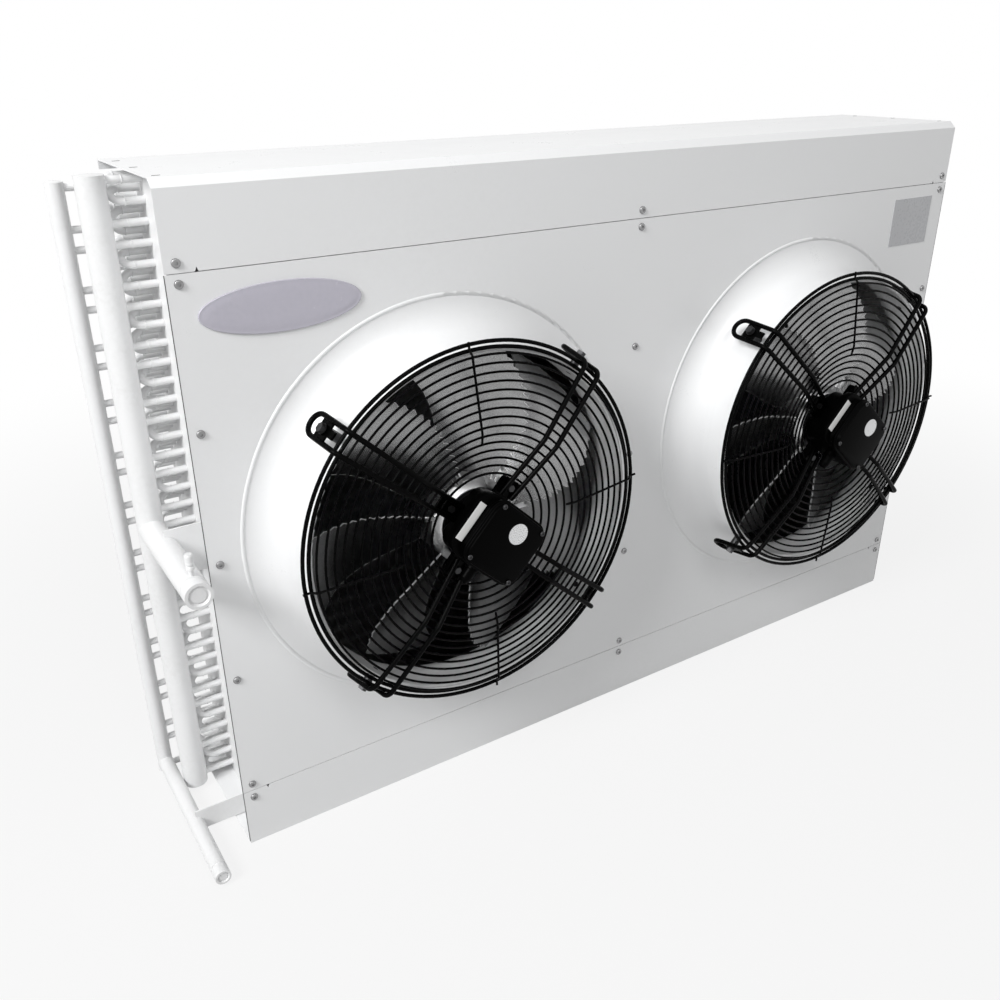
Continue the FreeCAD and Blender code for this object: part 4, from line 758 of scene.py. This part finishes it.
@dataclass
class FanTrim:
    """One fan's rotor, terminal box and lid, the bare labels on them, and a painted highlight on its blades'
    cut edges.

    The box's ends are measured from the fan's axis along its long side. Its faces, the step's and the
    lid's are measured forwards from the panel. The rotor's are places along Y.

    Args:
        shop: where the materials come from.
        name: the fan's name, which its pieces' names start with.
        centre_x: where the fan's axis is along the casing.
        axis_z: the height of that axis.
        turn: how far the box is turned about it.
        label_at: the middle of the long label, along the box and across it.
        sticker_at: the middle of the round sticker.
        blade_face: the least share of a normal along the axis that makes a face of a blade a broad one.
    """

    shop: PaintShop
    name: str
    centre_x: float
    axis_z: float = 0.4535
    turn: float = math.radians(-43.5)
    label_at: tuple[float, float] = (-0.0580, -0.001)
    label_size: tuple[float, float] = (0.012, 0.056)
    sticker_at: tuple[float, float] = (0.004, 0.020)
    label_margin: float = 0.0006
    sticker_radius: float = 0.0145
    sticker_margin: float = 0.08
    sticker_dip: float = 0.2
    film: float = 0.0003
    box_half: float = 0.046
    box_end: float = 0.050
    step_end: float = 0.069
    flange_face: float = 0.094
    step_back: float = 0.128
    step_front: float = 0.140
    lid_seat: float = 0.146
    lid_lip: float = 0.152
    lid_front: float = 0.158
    corner: float = 0.020
    step_corner: float = 0.024
    box_round: float = 0.0012
    lid_overhang: float = 0.002
    lid_land: float = 0.0030
    lid_draft: float = 0.985
    lid_round: float = 0.0014
    rotor_radius: float = 0.062
    rotor_mouth: float = 0.0495
    rotor_bore: float = 0.052
    rotor_shoulder: float = -0.190
    rotor_face: float = -0.1990
    rotor_back: float = -0.114
    rotor_floor: float = 0.0045
    rotor_lip: float = 0.0015
    rotor_lip_deep: float = 0.007
    rotor_round: float = 0.0006
    blade_face: float = 0.62
    blade_weld: float = 0.00001
    edge_skin: float = 0.0003

    def slab(self, ends: tuple[float, float], half: float, faces: tuple[float, float], radius: float,
             round_right: bool = True) -> bpy.types.Object:
        """A slab seen from the front as a rectangle with rounded corners, drawn about the fan's axis.

        Args:
            ends: its left and right ends.
            half: half its width.
            faces: how far its back and front stand before the panel.
            radius: the radius of its corners.
            round_right: whether the right corners are rounded too.

        Returns:
            The slab, not yet turned or placed.
        """
        slab = start_piece(bpy.ops.mesh.primitive_cube_add, size=1.0)
        slab.scale = (ends[1] - ends[0], faces[1] - faces[0], half * 2)
        slab.location = ((ends[0] + ends[1]) / 2, -(faces[0] + faces[1]) / 2, 0.0)
        apply_place(slab)
        bpy.ops.object.mode_set(mode="EDIT")
        bpy.ops.mesh.select_mode(type="EDGE")
        shell = bmesh.from_edit_mesh(slab.data)
        for edge in shell.edges:
            first, second = (vert.co for vert in edge.verts)
            upright = abs(first.x - second.x) < 1e-6 and abs(first.z - second.z) < 1e-6
            edge.select_set(upright and (round_right or first.x < (ends[0] + ends[1]) / 2))
        bmesh.update_edit_mesh(slab.data)
        bpy.ops.mesh.bevel(offset=radius, segments=8, affect="EDGES")
        bpy.ops.object.mode_set(mode="OBJECT")
        return slab

    def make_box(self) -> None:
        """The box on the motor's face, with the thin step that carries the long label."""
        box = self.slab((-self.box_end, self.box_end), self.box_half, (self.flange_face, self.lid_seat),
                        self.corner)
        step = self.slab((-self.step_end, 0.0), self.box_half, (self.step_back, self.step_front),
                         self.step_corner, round_right=False)
        finish_with(box, "BOOLEAN", object=step, operation="UNION", solver="EXACT")
        bpy.data.objects.remove(step)
        finish_with(box, "BEVEL", width=self.box_round, segments=2, limit_method="ANGLE",
                    angle_limit=math.radians(50))
        box.data.transform(self.place(0.0, 0.0, PANEL_Y))
        hand_over(box, f"{self.name}_box_shell", CASING,
                  self.shop.materials["BlackMouldedPlastic"])
        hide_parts(f"{self.name}_terminal_box")

    def make_lid(self) -> None:
        """The lid: a lip all round and a raised middle with a rounded rim."""
        grow = self.lid_overhang
        lid = self.slab((-self.box_end - grow, self.box_end + grow), self.box_half + grow,
                        (self.lid_seat, self.lid_lip), self.corner + grow)
        bpy.ops.object.mode_set(mode="EDIT")
        pick_faces(lid, lambda centre, normal: normal.y < -0.99)
        bpy.ops.mesh.inset(thickness=self.lid_land)
        bpy.ops.mesh.extrude_region_move()
        bpy.ops.transform.translate(value=(0.0, self.lid_lip - self.lid_front, 0.0))
        bpy.ops.transform.resize(value=(self.lid_draft, 1.0, self.lid_draft),
                                 center_override=(0.0, -self.lid_front, 0.0))
        bpy.ops.object.mode_set(mode="OBJECT")
        finish_with(lid, "BEVEL", width=self.lid_round, segments=3, limit_method="ANGLE",
                    angle_limit=math.radians(50))
        lid.data.transform(self.place(0.0, 0.0, PANEL_Y))
        hand_over(lid, f"{self.name}_lid_shell", CASING,
                  self.shop.materials["BlackMouldedPlastic"])
        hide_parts(f"{self.name}_terminal_lid")

    def make_rotor(self) -> None:
        """The turning can of the motor, with its bright sloped shoulder, open mouth and wider bore."""
        centre = (self.centre_x, self.rotor_face, self.axis_z)
        lip = self.rotor_mouth + self.rotor_lip
        lip_back = self.rotor_face + self.rotor_lip_deep
        can = start_piece(bpy.ops.mesh.primitive_cylinder_add, vertices=96, radius=self.rotor_radius,
                          depth=self.rotor_back - self.rotor_shoulder, rotation=(math.radians(90), 0.0, 0.0),
                          location=(self.centre_x, (self.rotor_shoulder + self.rotor_back) / 2, self.axis_z))
        apply_place(can)
        bpy.ops.object.mode_set(mode="EDIT")
        pick_faces(can, lambda middle, normal: normal.y < -0.9)
        steps = ((lip / self.rotor_radius, self.rotor_face - self.rotor_shoulder),
                 (self.rotor_mouth / lip, 0.0),
                 (1.0, lip_back - self.rotor_face),
                 (self.rotor_bore / self.rotor_mouth, 0.0),
                 (1.0, self.rotor_back - self.rotor_floor - lip_back))
        for scale, back in steps:
            bpy.ops.mesh.extrude_region_move()
            bpy.ops.transform.resize(value=(scale, 1.0, scale), center_override=centre)
            bpy.ops.transform.translate(value=(0.0, back, 0.0))
        bpy.ops.object.mode_set(mode="OBJECT")
        finish_with(can, "BEVEL", width=self.rotor_round, segments=2, limit_method="ANGLE",
                    angle_limit=math.radians(25))
        hand_over(can, f"{self.name}_rotor_shell", f"{self.name}_rotor",
                  self.shop.materials["RotorMetal"])
        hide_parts(f"{self.name}_rotor_can")

    def make_blade_edges(self) -> None:
        """A painted highlight on the blades' cut edges, saw teeth and all, as a bright skin on their narrow
        faces.
        """
        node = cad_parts[f"{self.name}_blades"]
        edges = bpy.data.objects.new(f"{self.name}_blade_edges", node.data.copy())
        bpy.context.scene.collection.objects.link(edges)
        work_on(edges)
        bpy.ops.object.mode_set(mode="EDIT")
        bpy.ops.mesh.select_all(action="SELECT")
        bpy.ops.mesh.remove_doubles(threshold=self.blade_weld)
        pick_faces(edges, lambda centre, normal: abs(normal.y) > self.blade_face)
        bpy.ops.mesh.delete(type="FACE")
        bpy.ops.object.mode_set(mode="OBJECT")
        finish_with(edges, "SOLIDIFY", thickness=self.edge_skin, offset=1.0)
        hand_over(edges, f"{self.name}_blade_edges", f"{self.name}_rotor",
                  self.shop.materials["PaintedEdgeHighlight"])

    def place(self, along: float, across: float, y: float) -> Matrix:
        """Where a flat piece that is drawn in X and Z lies on the box.

        Args:
            along: how far it is from the fan's axis along the box.
            across: how far it is from the axis across the box.
            y: how far back it is in the scene.

        Returns:
            The matrix that takes it there.
        """
        centre = Matrix.Translation((self.centre_x, y, self.axis_z))
        return centre @ Matrix.Rotation(-self.turn, 4, "Y") @ Matrix.Translation((along, 0.0, across))

    def make_label(self) -> None:
        """The long white label on the step beside the lid."""
        wide, tall = self.label_size
        label = start_piece(bpy.ops.mesh.primitive_cube_add, size=1.0)
        label.scale = (wide, self.film, tall)
        apply_place(label)
        finish_with(label, "BEVEL", width=self.film * 0.45, segments=2)
        bpy.ops.object.mode_set(mode="EDIT")
        pick_faces(label, lambda centre, normal: normal.y < -0.99 and abs(centre.x) < wide / 4)
        bpy.ops.mesh.inset(thickness=self.label_margin)
        bpy.ops.object.mode_set(mode="OBJECT")
        label.data.transform(self.place(*self.label_at, PANEL_Y - self.step_front - self.film / 2))
        hand_over(label, f"{self.name}_step_label", CASING,
                  self.shop.materials["PaperLabel"])

    def make_sticker(self) -> None:
        """The round silver sticker on the lid."""
        disc = start_piece(bpy.ops.mesh.primitive_cylinder_add, vertices=64, radius=self.sticker_radius,
                           depth=self.film, rotation=(math.radians(90), 0.0, 0.0))
        apply_place(disc)
        bpy.ops.object.mode_set(mode="EDIT")
        pick_faces(disc, lambda centre, normal: normal.y < -0.99)
        bpy.ops.mesh.inset(thickness=self.sticker_radius * self.sticker_margin)
        bpy.ops.transform.translate(value=(0.0, self.film * self.sticker_dip, 0.0))
        bpy.ops.object.mode_set(mode="OBJECT")
        disc.data.transform(self.place(*self.sticker_at, PANEL_Y - self.lid_front - self.film / 2))
        hand_over(disc, f"{self.name}_lid_sticker", CASING,
                  self.shop.materials["SilverSticker"])

    def build(self) -> None:
        """Makes the rotor, the box, its lid, both labels and the painted highlight on the blades' edges."""
        self.make_rotor()
        self.make_box()
        self.make_lid()
        self.make_blade_edges()
        self.make_label()
        self.make_sticker()


@dataclass(frozen=True)
class Lamp:
    """One square soft lamp, with its place, its size and its power in watts."""

    name: str
    place: Place
    size: float
    power: float


LAMPS = (
    Lamp("key_lamp", (-3.9, -1.4, 3.3), 1.6, 192.0),
    Lamp("fill_lamp", (-0.8, -3.2, 3.4), 1.4, 34.0),
    Lamp("top_lamp", (0.2, 0.3, 3.6), 3.0, 14.0),
)


@dataclass
class Studio:
    """The pale floor, the soft lamps, the white surroundings and the camera.

    Args:
        floor_radius: how far the floor reaches.
        floor_tone: how pale it is.
        fade_from: where it starts to turn white, from the middle of the object.
        fade_to: where it is white.
        least_fade: how white it is under the object.
        surround: how strongly the surroundings light the object.
        aim: the point that every lamp looks at.
        lens: the camera's focal length for a sensor of 36 mm.
        eye: the camera's place.
        right: its direction to the right.
        down: its direction downwards.
        ahead: its direction of view.
    """

    floor_radius: float = 25.0
    floor_tone: float = 0.52
    fade_from: float = 0.8
    fade_to: float = 2.4
    least_fade: float = 0.84
    surround: float = 0.30
    aim: Place = (0.0, -0.05, 0.45)
    lens: float = 34.74
    eye: Place = (-0.94480, -1.19774, 1.03227)
    right: Place = (0.840905, -0.541144, -0.006401)
    down: Place = (-0.234501, -0.353690, -0.905491)
    ahead: Place = (0.487737, 0.762933, -0.424318)

    def make_floor(self) -> None:
        """A pale floor that keeps the shadow near the object and fades to white far from it."""
        floor = start_piece(bpy.ops.mesh.primitive_circle_add, vertices=96, radius=self.floor_radius,
                            fill_type="NGON")
        floor.name = "studio_floor"
        material = bpy.data.materials.new("PaleFloor")
        material.use_nodes = True
        tree = material.node_tree
        shader = tree.nodes["Principled BSDF"]
        shader.inputs["Base Color"].default_value = (self.floor_tone, self.floor_tone, self.floor_tone, 1.0)
        shader.inputs["Roughness"].default_value = 0.9
        shader.inputs["Specular IOR Level"].default_value = 0.1
        where = add_node(tree, "ShaderNodeTexCoord")
        reach = add_node(tree, "ShaderNodeVectorMath", {"operation": "LENGTH"})
        fade = add_node(tree, "ShaderNodeMapRange", {"interpolation_type": "SMOOTHSTEP"},
                        {"From Min": self.fade_from, "From Max": self.fade_to, "To Min": self.least_fade})
        white = add_node(tree, "ShaderNodeEmission")
        blend = add_node(tree, "ShaderNodeMixShader")
        tree.links.new(where.outputs["Object"], reach.inputs[0])
        tree.links.new(reach.outputs["Value"], fade.inputs["Value"])
        tree.links.new(combine(tree, background_rays(tree), fade.outputs["Result"]), blend.inputs["Fac"])
        tree.links.new(shader.outputs["BSDF"], blend.inputs[1])
        tree.links.new(white.outputs["Emission"], blend.inputs[2])
        tree.links.new(blend.outputs["Shader"], tree.nodes["Material Output"].inputs["Surface"])
        floor.data.materials.append(material)

    def make_surroundings(self) -> None:
        """A soft even light from all round that the camera and polished metal see as white."""
        world = bpy.data.worlds.new("WhiteSurroundings")
        bpy.context.scene.world = world
        world.use_nodes = True
        tree = world.node_tree
        background = tree.nodes["Background"]
        background.inputs["Color"].default_value = (1.0, 1.0, 1.0, 1.0)
        strength = add_node(tree, "ShaderNodeMapRange", values={"To Min": self.surround, "To Max": 1.0})
        tree.links.new(background_rays(tree), strength.inputs["Value"])
        tree.links.new(strength.outputs["Result"], background.inputs["Strength"])

    def make_lamps(self) -> None:
        """A key from the upper left, a weak fill from the front and a broad lamp above."""
        for plan in LAMPS:
            clear_selection()
            bpy.ops.object.light_add(type="AREA", location=plan.place)
            lamp = bpy.context.view_layer.objects.active
            lamp.name = plan.name
            lamp.data.shape = "SQUARE"
            lamp.data.size = plan.size
            lamp.data.energy = plan.power
            ray = Vector(self.aim) - Vector(plan.place)
            lamp.rotation_euler = ray.to_track_quat("-Z", "Y").to_euler()

    def make_camera(self) -> None:
        """The camera at the photograph's place, worked out from the casing's corners and screws."""
        clear_selection()
        bpy.ops.object.camera_add()
        camera = bpy.context.view_layer.objects.active
        camera.data.sensor_width = 36.0
        camera.data.lens = self.lens
        camera.data.clip_start = 0.05
        camera.data.clip_end = 200.0
        axes = Matrix((self.right, -Vector(self.down), -Vector(self.ahead))).transposed()
        camera.matrix_world = Matrix.Translation(self.eye) @ axes.to_4x4()
        bpy.context.scene.camera = camera

    def build(self) -> None:
        """Sets up the whole studio."""
        self.make_camera()
        self.make_floor()
        self.make_surroundings()
        self.make_lamps()
        bpy.context.scene.view_settings.view_transform = "Standard"


def main() -> None:
    """Builds the studio and every sub-assembly in order."""
    logging.basicConfig(level=logging.INFO)
    Studio().build()
    shop = PaintShop()
    shop.open()
    shop.dress_nodes()
    Coil(shop).build()
    Badge(shop).build()
    CasingTrim(shop).build()
    for name, centre_x in FANS.items():
        FanTrim(shop, name, centre_x).build()
    clear_selection()


if __name__ == "__main__":
    main()
